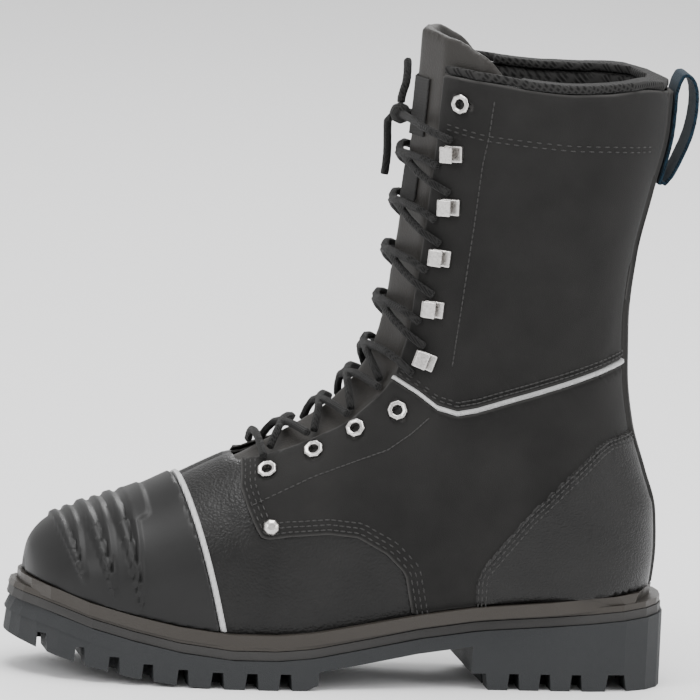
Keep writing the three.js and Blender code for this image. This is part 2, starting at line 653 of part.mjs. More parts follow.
// A point over the throat, a signed distance from its middle, at a height above the upper's form
function overThroat(u, y, offset) {
  const side = y < 0 ? -1 : 1;
  let [low, high] = [0.5, 1];
  for (let i = 0; i < 30; i += 1) {
    const v = (low + high) / 2;
    if (halfWidth(u, v) > Math.abs(y)) low = v;
    else high = v;
  }
  const normal = surfaceNormal(u, Math.min(low, CREST_LIMIT), side);
  const point = surfacePoint(u, low, side);
  const flat = Math.min(Math.abs(y) / wide(CENTRE_BLEND), 1);
  normal.y *= flat;
  return point.addScaledVector(normal.normalize(), offset);
}

const panelTop = CLEARANCE + PANEL_THICKNESS;

// Holes and metal
const SIDES = [[-1, 'outer'], [1, 'inner']];
const eyeletPlaces = [...LOW_EYELETS, ...TOP_EYELET];

function lathe(profile, segments) {
  const closed = [...profile, profile[0]].map(([r, h]) => new THREE.Vector2(r, h));
  return new THREE.LatheGeometry(closed, segments);
}

const ROUND_SIDES = 8;
const wallDepth = UPPER_WALL + panelTop;
const eyeletProfile = [
  [EYELET_HOLE, -wallDepth + CLEARANCE],
  [EYELET_BARREL, -wallDepth + CLEARANCE],
  [EYELET_BARREL, METAL_SEAT],
  [EYELET_FLANGE, METAL_SEAT],
  [EYELET_FLANGE - EYELET_BEVEL, METAL_SEAT + EYELET_RISE],
  [EYELET_HOLE, METAL_SEAT + EYELET_RISE * EYELET_LIP],
];

function eyeletHoles(side) {
  const cutter = new THREE.CylinderGeometry(EYELET_BARREL + CLEARANCE, EYELET_BARREL + CLEARANCE, wallDepth * 4, ROUND_SIDES);
  return eyeletPlaces.map((place) => toSolid(cutter.clone().applyMatrix4(placeOn(place, side, panelTop))));
}

const hookProfile = [
  [-HOOK_LENGTH / 2, -SEAT_DEPTH],
  [HOOK_LENGTH / 2, -SEAT_DEPTH],
  [HOOK_LENGTH / 2, HOOK_RISE - HOOK_PLATE],
  [HOOK_LENGTH / 2 - HOOK_PLATE, HOOK_RISE],
  [-HOOK_LENGTH * HOOK_MOUTH, HOOK_RISE],
  [-HOOK_LENGTH * HOOK_MOUTH, HOOK_RISE - HOOK_PLATE],
  [HOOK_LENGTH / 2 - HOOK_PLATE * HOOK_BEND, HOOK_RISE - HOOK_PLATE],
  [HOOK_LENGTH / 2 - HOOK_PLATE, HOOK_RISE - HOOK_PLATE * HOOK_BEND],
  [HOOK_LENGTH / 2 - HOOK_PLATE, HOOK_PLATE],
  [-HOOK_LENGTH / 2, HOOK_PLATE],
];

function hookGeometry() {
  const shape = new THREE.Shape(hookProfile.map(([f, h]) => new THREE.Vector2(f, h + METAL_SEAT)));
  const block = new THREE.ExtrudeGeometry(shape, { depth: HOOK_WIDTH, bevelEnabled: false });
  return block.translate(0, 0, -HOOK_WIDTH / 2);
}

const rivetProfile = [
  [0, -SEAT_DEPTH],
  [RIVET_RADIUS, -SEAT_DEPTH],
  [RIVET_RADIUS, METAL_SEAT],
  [RIVET_RADIUS * 0.85, METAL_SEAT + RIVET_RISE * 0.6],
  [RIVET_RADIUS * 0.45, METAL_SEAT + RIVET_RISE],
  [0, METAL_SEAT + RIVET_RISE],
];

// A round cord through points
function cord(points, diameter, steps, sides) {
  const section = new THREE.Shape();
  for (let i = 0; i < sides; i += 1) {
    const angle = (2 * Math.PI * i) / sides;
    const [x, y] = [(Math.cos(angle) * diameter) / 2, (Math.sin(angle) * diameter) / 2];
    if (i === 0) section.moveTo(x, y);
    else section.lineTo(x, y);
  }
  section.closePath();
  const path = new THREE.CatmullRomCurve3(points, false, 'centripetal');
  return toSolid(new THREE.ExtrudeGeometry(section, { steps, extrudePath: path, bevelEnabled: false }));
}

const boot = new THREE.Group();

function add(name, geometry, look) {
  const mesh = new THREE.Mesh(geometry, look);
  mesh.name = name;
  boot.add(mesh);
}

const look = (color, roughness, metalness = 0) => new THREE.MeshStandardMaterial({ color, roughness, metalness });
const looks = {
  nubuck: look(0x2d2c2a, 0.75),
  grained: look(0x303032, 0.5),
  rubber: look(0x37373a, 0.45),
  outsole: look(0x262629, 0.6),
  midsole: look(0x2a2724, 0.6),
  mesh: look(0x1c1b1a, 0.95),
  reflective: look(0xb9bcc0, 0.4),
  metal: look(0xc9c8c4, 0.25, 1),
  lace: look(0x181716, 0.9),
  webbing: look(0x23252b, 0.9),
  patch: look(0xc9cdd2, 0.7),
};

// Outsole: a plate with forefoot and heel blocks, cut into lugs
const springAt = (x) => up(TOE_SPRING) * Math.max(0, (SPRING_START - shareX(x)) / SPRING_START) ** 2;
const forefootLow = (x) => springAt(x) + (shareX(x) > FOREFOOT_END - FOREFOOT_CHAMFER / 2 ? LUG_DEPTH / 3 : 0);
const heelLow = (x) => (shareX(x) < HEEL_FRONT + HEEL_SLANT + HEEL_STEP / 2 ? LUG_DEPTH : 0);
const plateLow = (x) => outsoleTop(x) - ARCH_THICKNESS;
const insidePlate = (x) => outsoleTop(x) - ARCH_THICKNESS / 2;
const lugTop = (depth) => (x) => (shareX(x) < HEEL_FRONT ? springAt(x) : 0) + depth;
const underFloor = () => -LUG_DEPTH;
const FOREFOOT = { from: 0, to: FOREFOOT_END };
const HEEL = { from: HEEL_FRONT, to: 1 };

function notch({ x, width }, depth) {
  const [centre, top] = [mm(x), lugTop(depth)(mm(x))];
  const half = width / 2;
  return across([
    [centre - half * (1 + NOTCH_TAPER), underFloor()], [centre + half * (1 + NOTCH_TAPER), underFloor()],
    [centre + half, top], [centre - half, top],
  ]);
}

function lugCuts() {
  const column = (inset) => slab(inset, () => -COLLAR_HEIGHT, () => COLLAR_HEIGHT);
  const inner = column(LUG_RING_WIDTH + LUG_CHANNEL / 2);
  const edgeNotches = [...FOREFOOT_NOTCHES, ...HEEL_NOTCHES].map((row) => notch(row, LUG_DEPTH).subtract(inner));
  const centreCuts = CENTRE_CUTS.map((x) => notch({ x, width: CENTRE_CHANNEL }, CHANNEL_DEPTH).intersect(inner));
  const channels = [FOREFOOT_CHANNEL, HEEL_CHANNEL].map((range) => (
    slab(LUG_RING_WIDTH, underFloor, lugTop(CHANNEL_DEPTH), range).subtract(column(LUG_RING_WIDTH + LUG_CHANNEL))
  ));
  return [...edgeNotches, ...channels, ...centreCuts];
}

const plate = slab(0, plateLow, outsoleTop, { flare: TOE_FLARE });
const forefoot = slab(0, forefootLow, insidePlate, { ...FOREFOOT, flare: TOE_FLARE / 2 });
const heelBlock = slab(0, heelLow, insidePlate, HEEL);
const outsole = lugCuts().reduce((body, cut) => body.subtract(cut), plate.add(forefoot).add(heelBlock));
add('outsole', toGeometry(outsole), looks.outsole);

const midsole = slab(EDGE_STEP, (x) => midsoleTop(x) - MIDSOLE_THICKNESS, midsoleTop, { flare: EDGE_STEP });
add('midsole', toGeometry(midsole), looks.midsole);

// Welt: a flat ring with a raised bead that hugs the upper
const weltRing = slab(TOE_FLARE / 2, (x) => weltTop(x) - WELT_THICKNESS, weltTop, { flare: EDGE_STEP })
  .subtract(slab(WELT_RING_WIDTH, (x) => weltTop(x) - WELT_THICKNESS * 2, (x) => weltTop(x) + WELT_THICKNESS));
const beadBand = bandOver((x) => weltTop(x) - WELT_THICKNESS / 2, (x) => weltTop(x) + BEAD_HEIGHT);
const bead = layer(CLEARANCE, CLEARANCE + BEAD_WIDTH).intersect(beadBand);
add('welt', toGeometry(weltRing.add(bead)), looks.midsole);

const insoleBand = bandOver((x) => weltTop(x) + CLEARANCE, (x) => weltTop(x) + CLEARANCE + INSOLE_THICKNESS);
add('insole', toGeometry(form(-UPPER_WALL - CLEARANCE).intersect(insoleBand)), looks.mesh);

// Upper
const throat = throatCut();
const topCut = aboveCollar(BINDING_HEIGHT + CLEARANCE);
const panelFloor = below(BEAD_HEIGHT + CLEARANCE);
const holes = SIDES.flatMap(([side]) => eyeletHoles(side));
const drilled = (solid) => holes.reduce((body, hole) => body.subtract(hole), solid);
const upper = layer(-UPPER_WALL, 0).subtract(below(CLEARANCE)).subtract(topCut).subtract(throat);
add('upper', toGeometry(drilled(upper)), looks.grained);

// Panels laid on the upper
const SEAM_HALF = PIPING_WIDTH / 2;
const trimmed = (band) => band.subtract(panelFloor).subtract(topCut).subtract(throat);
const panelBand = trimmed(layer(CLEARANCE, panelTop));
const sideBand = panelBand.subtract(inBackstay(CLEARANCE));
const quarters = sideBand.intersect(behindFront).intersect(belowSeam(-SEAM_HALF - CLEARANCE)).subtract(inCounter(CLEARANCE));
const shafts = sideBand.intersect(aboveSeam(SEAM_HALF + CLEARANCE));
const pipings = trimmed(layer(CLEARANCE, CLEARANCE + PIPING_RISE)).subtract(inBackstay(CLEARANCE))
  .intersect(belowSeam(SEAM_HALF)).intersect(aboveSeam(-SEAM_HALF));
const counters = trimmed(layer(CLEARANCE, CLEARANCE + COUNTER_THICKNESS)).subtract(inBackstay(CLEARANCE))
  .intersect(inCounter(0));
for (const [side, name] of SIDES) {
  const half = halfOf(side);
  add(`quarter_${name}`, toGeometry(drilled(quarters.intersect(half))), looks.nubuck);
  add(`shaft_panel_${name}`, toGeometry(drilled(shafts.intersect(half))), looks.nubuck);
  add(`piping_${name}`, toGeometry(pipings.intersect(half)), looks.reflective);
  add(`heel_counter_${name}`, toGeometry(counters.intersect(half)), looks.grained);
}
const backstay = trimmed(layer(CLEARANCE, CLEARANCE + BACKSTAY_THICKNESS)).intersect(inBackstay(0));
add('backstay', toGeometry(backstay), looks.nubuck);

// Rubber toe cap with its three claw ridges and a bare plate, and the strip behind it
const capTop = CLEARANCE + CAP_THICKNESS;
const ridgeShape = ({ top, tip, width, tipHalf }) => across([
  [mm(top[0]) - width / 2, up(FAR_UP)], [mm(top[0]) + width / 2, up(FAR_UP)], [mm(top[0]) + width / 2, up(top[1])],
  [mm(tip[0]) + tipHalf, up(tip[1])], [mm(tip[0]) - tipHalf, up(tip[1])], [mm(top[0]) - width / 2, up(top[1])],
]);
const raised = (rise) => layer(CLEARANCE + CAP_THICKNESS / 2, capTop + rise);
const ridges = RIDGES.map((row) => raised(RIDGE_RISE).intersect(ridgeShape(row)));
const capPlate = raised(PLATE_RISE).intersect(across(toFrame(PLATE_OUTLINE)));
const capBody = layer(CLEARANCE, capTop).intersect(capEdge(0));
const cap = [...ridges, capPlate].reduce((body, piece) => body.add(piece), capBody).subtract(panelFloor);
add('toe_cap', toGeometry(cap), looks.rubber);
const strip = layer(CLEARANCE, panelTop).intersect(capEdge(STRIP_WIDTH + CLEARANCE)).subtract(capEdge(CLEARANCE));
add('toe_cap_strip', toGeometry(strip.subtract(panelFloor)), looks.reflective);

// Padded lining inside the collar, and the knit binding round its rim
const behindPad = across([
  ...toFrame(PAD_FRONT), [mm(FAR_BACK), up(PAD_FRONT.at(-1)[1])], [mm(FAR_BACK), up(PAD_FRONT[0][1])],
]);
const padInner = -UPPER_WALL - CLEARANCE - COLLAR_PAD;
const lining = layer(padInner, -UPPER_WALL - CLEARANCE).intersect(behindPad).subtract(topCut);
add('collar_lining', toGeometry(lining), looks.mesh);
const rim = layer(-UPPER_WALL, panelTop).add(layer(padInner, panelTop).intersect(behindPad));
const binding = rim.subtract(throat).intersect(aboveCollar(BINDING_HEIGHT)).subtract(aboveCollar(0));
add('collar_binding', toGeometry(binding), looks.mesh);

// Tongue, with two plain patches on its front
const tongueTop = -UPPER_WALL - CLEARANCE;
const tongue = form(tongueTop, TONGUE_RISE).subtract(form(tongueTop - TONGUE_THICKNESS)).intersect(across(toFrame(TONGUE_SIDE)));
add('tongue', toGeometry(tongue), looks.nubuck);
for (const { name, from, to } of PATCHES) {
  const outline = toFrame([[PATCH_FRONT, from], [PATCH_BEHIND, from], [PATCH_BEHIND, to], [PATCH_FRONT, to]]);
  const patch = layer(tongueTop + CLEARANCE, tongueTop + CLEARANCE + PATCH_RISE, TONGUE_RISE)
    .intersect(prism(outline, -PATCH_HALF, PATCH_HALF));
  add(`tongue_patch_${name}`, toGeometry(patch), looks.patch);
}

// Pull loop of webbing, sewn flat to the backstay
const backTop = CLEARANCE + BACKSTAY_THICKNESS;
const loopGap = backTop + LOOP_THICKNESS / 2;
const seatLine = LOOP_SEAT.map((z) => [mm(backLine(z)) + loopGap, up(z)]);
const [seatX] = seatLine.at(-1);
const rimTop = up(collarLine(LOOP_SEAT.at(-1)));
const loopPath = [
  ...seatLine, ...LOOP_ARCH.map(([behind, above]) => [seatX + behind, rimTop + above]),
  [seatLine[0][0] + LOOP_THICKNESS + CLEARANCE, seatLine[0][1]],
];

function strap(path, thickness) {
  const line = new THREE.SplineCurve(path.map(([x, z]) => new THREE.Vector2(x, z)));
  const edges = [1, -1].map((side) => Array.from({ length: LOOP_STEPS + 1 }, (_, i) => {
    const point = line.getPoint(i / LOOP_STEPS);
    const tangent = line.getTangent(i / LOOP_STEPS);
    return [point.x - (tangent.y * thickness * side) / 2, point.y + (tangent.x * thickness * side) / 2];
  }));
  return [...edges[0], ...edges[1].reverse()];
}
const loop = prism(strap(loopPath, LOOP_THICKNESS), -LOOP_WIDTH / 2, LOOP_WIDTH / 2).subtract(form(backTop + CLEARANCE));
add('pull_loop', toGeometry(loop), looks.webbing);

// Eyelets, speed hooks and rivets. The hooks and rivets are cut to sit on the panel's own form.
const panelSeat = form(panelTop + CLEARANCE);
for (const [side, name] of SIDES) {
  eyeletPlaces.forEach((place, i) => {
    const ring = lathe(eyeletProfile, ROUND_SIDES).applyMatrix4(placeOn(place, side, panelTop));
    add(`eyelet_${name}_${i + 1}`, toGeometry(toSolid(ring)), looks.metal);
  });
  HOOKS.forEach((place, i) => {
    const hook = hookGeometry().applyMatrix4(placeOn(place, side, panelTop));
    add(`hook_${name}_${i + 1}`, toGeometry(toSolid(hook).subtract(panelSeat)), looks.metal);
  });
  const dome = lathe(rivetProfile, ROUND_SIDES).applyMatrix4(placeOn(RIVET_PLACE, side, panelTop));
  add(`rivet_${name}`, toGeometry(toSolid(dome).subtract(panelSeat)), looks.metal);
}

// Laces: a bar over the vamp, a crossing between each pair of eyelets or hooks, a knot and its ends
const laceTop = tongueTop + TONGUE_RISE + CLEARANCE + PATCH_RISE + CLEARANCE + LACE_DIAMETER / 2;
const overPanel = panelTop + LACE_DIAMETER / 2 + METAL_SEAT * 2;
const onPanel = panelTop + LACE_DIAMETER / 2 + CLEARANCE;
const underEdge = tongueTop + CLEARANCE + LACE_DIAMETER / 2;
const laceRadius = LACE_DIAMETER / 2;
const ribOf = (place) => ribAt(mm(place[0]), up(place[1]))[0];
const eyeletRibs = LOW_EYELETS.map(ribOf);
const throatAt = (u) => wide(throatHalf(u));
const underEyestay = (u) => ({ u: u + UNDER_SHIFT, y: throatAt(u) - laceRadius - EDGE_ROOM, offset: underEdge });

// Half a strand, from its end on one side to the middle of the tongue
function halfStrand(from, to, side) {
  const over = from.y > throatAt(from.u) ? [overThroat(from.u, side * (throatAt(from.u) - 1), onPanel)] : [];
  return [
    overThroat(from.u, side * from.y, from.offset),
    ...over,
    overThroat(lerp(from.u, to.u, STRAND_ALONG), side * throatAt(from.u) * STRAND_ACROSS, laceTop),
  ];
}

function crossing(start, end) {
  const strands = [-1, 1].map((side) => cord([
    ...halfStrand(start, end, side),
    overThroat((start.u + end.u) / 2, 0, laceTop),
    ...halfStrand(end, start, -side).reverse(),
  ], LACE_DIAMETER, CROSS_STEPS, CROSS_SIDES));
  return strands[0].add(strands[1]);
}

// Where a strand passes a hook, on its lower or upper side
const hookReach = HOOK_WIDTH / 2 + laceRadius + CLEARANCE * 2;
function besideHook(place, direction) {
  const ahead = direction < 0 ? HOOK_LENGTH / 2 : 0;
  const beside = ribAt(mm(place[0]) - ahead, up(place[1]) + direction * hookReach);
  return { u: beside[0], y: halfWidth(...beside), offset: onPanel };
}

const barReach = throatAt(eyeletRibs[0]) + BAR_OVER;
const barPoints = BAR_SHARES.map((share) => overThroat(eyeletRibs[0], share * barReach, onPanel));
add('lace_bar', toGeometry(cord(barPoints, LACE_DIAMETER, CROSS_STEPS, CROSS_SIDES)), looks.lace);
for (let i = 0; i + 1 < LOW_EYELETS.length; i += 1) {
  const end = { u: eyeletRibs[i + 1], y: throatAt(eyeletRibs[i + 1]), offset: overPanel };
  add(`lace_crossing_${i + 1}`, toGeometry(crossing(underEyestay(eyeletRibs[i]), end)), looks.lace);
}
HOOKS.forEach((place, i) => {
  const end = besideHook(place, -1);
  const start = i === 0 ? underEyestay(eyeletRibs.at(-1)) : besideHook(HOOKS[i - 1], 1);
  add(`lace_crossing_${i + LOW_EYELETS.length}`, toGeometry(crossing(start, end)), looks.lace);
});

const lastHook = besideHook(HOOKS.at(-1), 1);
const knotRib = lastHook.u;
const knotAt = overThroat(knotRib, KNOT_Y, laceTop + KNOT_RADIUS * KNOT_LIFT);
function knotBall(radius) {
  const ball = new THREE.SphereGeometry(radius, ROUND_SIDES, ROUND_SIDES / 2 + 1);
  return toSolid(ball.translate(knotAt.x, knotAt.y, knotAt.z));
}
const knotStrands = [-1, 1].map((side) => cord([
  knotAt,
  overThroat(knotRib, side * throatAt(knotRib) * KNOT_STRAND, laceTop),
  overThroat(knotRib, side * (throatAt(knotRib) - 1), overPanel),
  overThroat(knotRib, side * lastHook.y, overPanel),
], LACE_DIAMETER, CROSS_STEPS, CROSS_SIDES));
add('lace_knot', toGeometry(knotStrands.reduce((body, strand) => body.add(strand), knotBall(KNOT_RADIUS))), looks.lace);

LACE_ENDS.forEach((points, i) => {
  const path = points.map(([u, y, offset]) => overThroat(knotRib + u, KNOT_Y + y, laceTop + offset));
  const end = cord([knotAt, ...path], LACE_DIAMETER, END_STEPS, END_SIDES).subtract(knotBall(KNOT_RADIUS + CLEARANCE));
  add(`lace_end_${i + 1}`, toGeometry(end), looks.lace);
});

export default boot;
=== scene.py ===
# Left metatarsal guard boot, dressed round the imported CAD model. Metres, +Z up, toe towards -X.
import math

import bpy
import numpy as np
from mathutils import Matrix, Vector
from mathutils.kdtree import KDTree


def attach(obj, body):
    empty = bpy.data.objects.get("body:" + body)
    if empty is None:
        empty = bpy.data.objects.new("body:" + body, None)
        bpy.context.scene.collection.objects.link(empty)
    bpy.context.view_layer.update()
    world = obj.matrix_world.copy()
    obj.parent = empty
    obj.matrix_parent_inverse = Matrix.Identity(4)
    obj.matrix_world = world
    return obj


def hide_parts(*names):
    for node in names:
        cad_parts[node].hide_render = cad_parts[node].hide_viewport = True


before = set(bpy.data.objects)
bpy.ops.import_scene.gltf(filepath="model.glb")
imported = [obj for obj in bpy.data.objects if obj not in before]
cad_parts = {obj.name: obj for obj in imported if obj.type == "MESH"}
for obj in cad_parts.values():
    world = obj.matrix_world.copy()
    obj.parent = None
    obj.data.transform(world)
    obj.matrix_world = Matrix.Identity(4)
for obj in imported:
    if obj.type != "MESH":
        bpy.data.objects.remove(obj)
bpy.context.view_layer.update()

# Camera: a long lens at the outer side, a little above the boot and ahead of it.
# It is rolled a little, as the picture was taken.
CAMERA_TURN = math.radians(-9)
CAMERA_RISE = math.radians(8.5)
CAMERA_ROLL = math.radians(2.7)
CAMERA_AWAY = 8.0
VIEW_WIDTH = 0.336
AIM = Vector((-0.1164, -0.001, 0.1577))
back = Vector((
    math.sin(CAMERA_TURN) * math.cos(CAMERA_RISE),
    -math.cos(CAMERA_TURN) * math.cos(CAMERA_RISE),
    math.sin(CAMERA_RISE),
))
level = Vector((math.cos(CAMERA_TURN), math.sin(CAMERA_TURN), 0))
upright = back.cross(level)
right = level * math.cos(CAMERA_ROLL) + upright * math.sin(CAMERA_ROLL)
above = upright * math.cos(CAMERA_ROLL) - level * math.sin(CAMERA_ROLL)
camera = bpy.data.objects.new("camera", bpy.data.cameras.new("camera"))
bpy.context.collection.objects.link(camera)
camera_axes = Matrix((right, above, back)).transposed().to_4x4()
camera.matrix_world = Matrix.Translation(AIM + back * CAMERA_AWAY) @ camera_axes
camera.data.sensor_width = 36
camera.data.lens = camera.data.sensor_width * CAMERA_AWAY / VIEW_WIDTH
camera.data.clip_end = 50
bpy.context.scene.camera = camera

# Studio: a wide pale floor, soft light from above and from both sides, and white air.
# The floor stays open behind the boot, so that it can be seen from all sides.
FLOOR_HALF = 14.0
PAPER_WHITE = (0.93, 0.93, 0.935, 1)
AIR_STRENGTH = 0.95


def studio_floor():
    mesh = bpy.data.meshes.new("studio_floor")
    corners = [(-1, -1), (1, -1), (1, 1), (-1, 1)]
    mesh.from_pydata([(x * FLOOR_HALF, y * FLOOR_HALF, 0) for x, y in corners], [], [(0, 1, 2, 3)])
    return bpy.data.objects.new("studio_floor", mesh)


floor = studio_floor()
bpy.context.collection.objects.link(floor)
paper = bpy.data.materials.new("studio_paper")
paper.use_nodes = True
paper.node_tree.nodes["Principled BSDF"].inputs["Base Color"].default_value = PAPER_WHITE
paper.node_tree.nodes["Principled BSDF"].inputs["Roughness"].default_value = 0.9
floor.data.materials.append(paper)


def soft_light(name, place, size, power):
    lamp = bpy.data.lights.new(name, "AREA")
    lamp.shape = "DISK"
    lamp.size = size
    lamp.energy = power
    light = bpy.data.objects.new(name, lamp)
    bpy.context.collection.objects.link(light)
    aim = (AIM - Vector(place)).to_track_quat("-Z", "Y")
    light.matrix_world = Matrix.LocRotScale(Vector(place), aim, None)


soft_light("top_light", (-0.1, -0.3, 2.2), 1.8, 54)
soft_light("front_light", (-1.9, -1.6, 1.3), 1.2, 22)
soft_light("heel_light", (1.8, -1.4, 1.2), 1.2, 16)
soft_light("rim_light", (0.4, 1.8, 1.5), 1.0, 14)
world = bpy.data.worlds.new("studio_air")
world.use_nodes = True
world.node_tree.nodes["Background"].inputs["Color"].default_value = (1, 1, 1, 1)
world.node_tree.nodes["Background"].inputs["Strength"].default_value = AIR_STRENGTH
bpy.context.scene.world = world

# Upper: one leather shell, lasted over a foot form. The form is given by ribs from the toe round
# the heel to the collar, each from a base point at the sole or heel to a top point on the instep,
# in shares of the sole's length, the collar's height and the width across the ball, all in millimetres.
SOLE_LENGTH = 318
HEEL_BACK = 41
BALL_WIDTH = 106
COLLAR_HEIGHT = 296
SEAM_GAP = 0.3
RIB_COLUMNS = ("top_x", "top_z", "base_x", "base_z", "low", "mid", "high", "crown")
RIBS = (
    (0.033, 0.176, 0.033, 0.111, 0.377, 0.396, 0.377, 0.21),
    (0.039, 0.203, 0.041, 0.106, 0.377, 0.400, 0.377, 0.23),
    (0.058, 0.230, 0.060, 0.098, 0.377, 0.405, 0.377, 0.25),
    (0.085, 0.247, 0.091, 0.090, 0.385, 0.415, 0.377, 0.27),
    (0.132, 0.266, 0.142, 0.073, 0.396, 0.430, 0.377, 0.31),
    (0.189, 0.288, 0.198, 0.056, 0.408, 0.445, 0.375, 0.36),
    (0.245, 0.318, 0.261, 0.042, 0.417, 0.455, 0.370, 0.41),
    (0.302, 0.350, 0.327, 0.035, 0.420, 0.457, 0.355, 0.43),
    (0.358, 0.378, 0.393, 0.037, 0.412, 0.445, 0.330, 0.40),
    (0.412, 0.405, 0.462, 0.046, 0.390, 0.422, 0.312, 0.35),
    (0.453, 0.431, 0.538, 0.061, 0.362, 0.395, 0.305, 0.32),
    (0.481, 0.454, 0.613, 0.074, 0.343, 0.378, 0.312, 0.32),
    (0.503, 0.480, 0.701, 0.084, 0.332, 0.367, 0.322, 0.32),
    (0.523, 0.507, 0.789, 0.091, 0.332, 0.360, 0.330, 0.33),
    (0.534, 0.532, 0.884, 0.098, 0.335, 0.358, 0.335, 0.34),
    (0.542, 0.556, 0.947, 0.105, 0.335, 0.358, 0.340, 0.34),
    (0.547, 0.578, 0.969, 0.149, 0.335, 0.358, 0.345, 0.34),
    (0.552, 0.598, 0.975, 0.223, 0.340, 0.358, 0.348, 0.34),
    (0.556, 0.628, 0.972, 0.284, 0.349, 0.358, 0.350, 0.34),
    (0.560, 0.662, 0.953, 0.351, 0.358, 0.362, 0.354, 0.34),
    (0.566, 0.713, 0.931, 0.426, 0.358, 0.363, 0.358, 0.34),
    (0.572, 0.770, 0.920, 0.507, 0.358, 0.368, 0.364, 0.35),
    (0.577, 0.825, 0.917, 0.600, 0.363, 0.380, 0.378, 0.36),
    (0.582, 0.880, 0.925, 0.705, 0.387, 0.406, 0.398, 0.38),
    (0.586, 0.935, 0.945, 0.810, 0.415, 0.434, 0.425, 0.40),
    (0.589, 0.990, 0.965, 0.915, 0.439, 0.453, 0.448, 0.42),
    (0.592, 1.075, 0.970, 1.050, 0.448, 0.462, 0.462, 0.43),
)
LAST_RIB = len(RIBS) - 1
TOE_TIP = RIBS[0][0]
FIRST_BACK_RIB = 16
TOE_ROUND = 0.425
CROWN_POWER = 2.3
BACK_POWER = 2.2
BACK_ROUND = ((0.12, 0.34), (0.26, 0.36), (0.41, 0.43), (0.56, 0.51), (1.05, 0.57))
MIDDLE_SHIFT = (
    (0.00, 0.066), (0.08, 0.038), (0.14, 0.026), (0.22, 0.012), (0.30, -0.005), (0.37, -0.021),
    (0.46, -0.040), (0.55, -0.045), (0.645, -0.033), (0.74, -0.019), (0.835, -0.007), (0.92, 0.0),
    (1.00, 0.0),
)
MIDDLE_FADE = (0.30, 0.54)
HALVINGS = 30
FINE_HALVINGS = 36
SMALL_TURN = 0.02
TINY = 1e-9
WELT_TOP = (
    (0.00, 0.145), (0.05, 0.135), (0.10, 0.118), (0.16, 0.102), (0.22, 0.088), (0.28, 0.078), (0.34, 0.073),
    (0.40, 0.074), (0.46, 0.081), (0.55, 0.098), (0.62, 0.111), (0.70, 0.122), (0.80, 0.130), (0.87, 0.136),
    (0.95, 0.144), (1.00, 0.149),
)
COLLAR_LINE = (
    (0.55, 1.022), (0.611, 1.017), (0.686, 1.010), (0.742, 1.001), (0.80, 0.996), (0.86, 0.997),
    (0.915, 1.001), (0.965, 0.992), (1.00, 0.985),
)
THROAT = (
    (7.5, 0.10), (7.8, 0.17), (8.2, 0.19), (10, 0.225), (12, 0.255), (15, 0.275), (21, 0.275), (26, 0.295),
)


def curve(rows):
    """A smooth curve through the rows of a table that never overshoots them."""
    x, y = (np.array(column, float) for column in zip(*rows))
    steps = np.diff(y) / np.diff(x)
    before = np.concatenate((steps[:1], steps))
    after = np.concatenate((steps, steps[-1:]))
    turns = before * after <= 0
    slope = np.where(turns, 0, 2 * before * after / np.where(turns, 1, before + after))

    def at(value):
        value = np.asarray(value, float)
        i = np.clip(np.searchsorted(x, value, side="right") - 1, 0, len(x) - 2)
        width = x[i + 1] - x[i]
        t = np.clip((value - x[i]) / width, 0, 1)
        rest = 1 - t
        level_part = y[i] * rest * rest * (1 + 2 * t) + y[i + 1] * t * t * (3 - 2 * t)
        return level_part + width * t * rest * (slope[i] * rest - slope[i + 1] * t)

    return at


def smooth(start, end, value):
    t = np.clip((value - start) / (end - start), 0, 1)
    return t * t * (3 - 2 * t)


def rounding(t, power):
    return (1 - (1 - np.clip(t, 0, 1)) ** power) ** (1 / power)


def along(share):
    return np.asarray(share) * SOLE_LENGTH + HEEL_BACK - SOLE_LENGTH


def share_along(x):
    return (x - HEEL_BACK + SOLE_LENGTH) / SOLE_LENGTH


rib = {name: curve([(i, row[c]) for i, row in enumerate(RIBS)]) for c, name in enumerate(RIB_COLUMNS)}
back_line = curve([(row[3], row[2]) for row in RIBS[FIRST_BACK_RIB:]])
back_round = curve(BACK_ROUND)
middle_shift = curve(MIDDLE_SHIFT)
welt_top_share = curve(WELT_TOP)
collar_share = curve(COLLAR_LINE)
throat_share = curve(THROAT)


def welt_top(x):
    return welt_top_share(share_along(x)) * COLLAR_HEIGHT


def middle(x, z):
    fade = smooth(MIDDLE_FADE[0] * COLLAR_HEIGHT, MIDDLE_FADE[1] * COLLAR_HEIGHT, z)
    return BALL_WIDTH * middle_shift(share_along(x)) * (1 - fade)


def side_point(u, v):
    x = along(rib["base_x"](u) * (1 - v) + rib["top_x"](u) * v)
    z = (rib["base_z"](u) * (1 - v) + rib["top_z"](u) * v) * COLLAR_HEIGHT
    return x, z


def half_width(u, v):
    x, z = side_point(u, v)
    foot = side_point(u, 0 * v)
    crest = side_point(u, 0 * v + 1)
    reach = np.hypot(crest[0] - foot[0], crest[1] - foot[1])
    low, mid, high = rib["low"](u), rib["mid"](u), rib["high"](u)
    width = (low + (mid - low) * v * 2) * (1 - v) + (mid + (high - mid) * (v * 2 - 1)) * v
    crown = rounding((1 - v) * reach / (BALL_WIDTH * rib["crown"](u)), CROWN_POWER)
    height = z / COLLAR_HEIGHT
    heel = rounding((along(back_line(height)) - x) / (BALL_WIDTH * back_round(height)), BACK_POWER)
    toe = rounding((x - along(TOE_TIP) + SEAM_GAP) / (BALL_WIDTH * TOE_ROUND), CROWN_POWER)
    return BALL_WIDTH * width * crown * heel * toe


def form(u, turn, offset=0.0):
    """A point of the form: rib u, turned from the crest, 0, to the base or back, pi, + to the inner side."""
    u, turn = np.broadcast_arrays(np.asarray(u, float), np.asarray(turn, float))
    here = bare_form(u, turn)
    return here + form_normal(u, turn) * np.asarray(offset)[..., None]


def bare_form(u, turn):
    v = np.cos(turn / 2) ** 2
    x, z = side_point(u, v)
    side = np.where(np.sin(turn) < 0, -1, 1)
    return np.stack([x, middle(x, z) + side * half_width(u, v), z], -1)


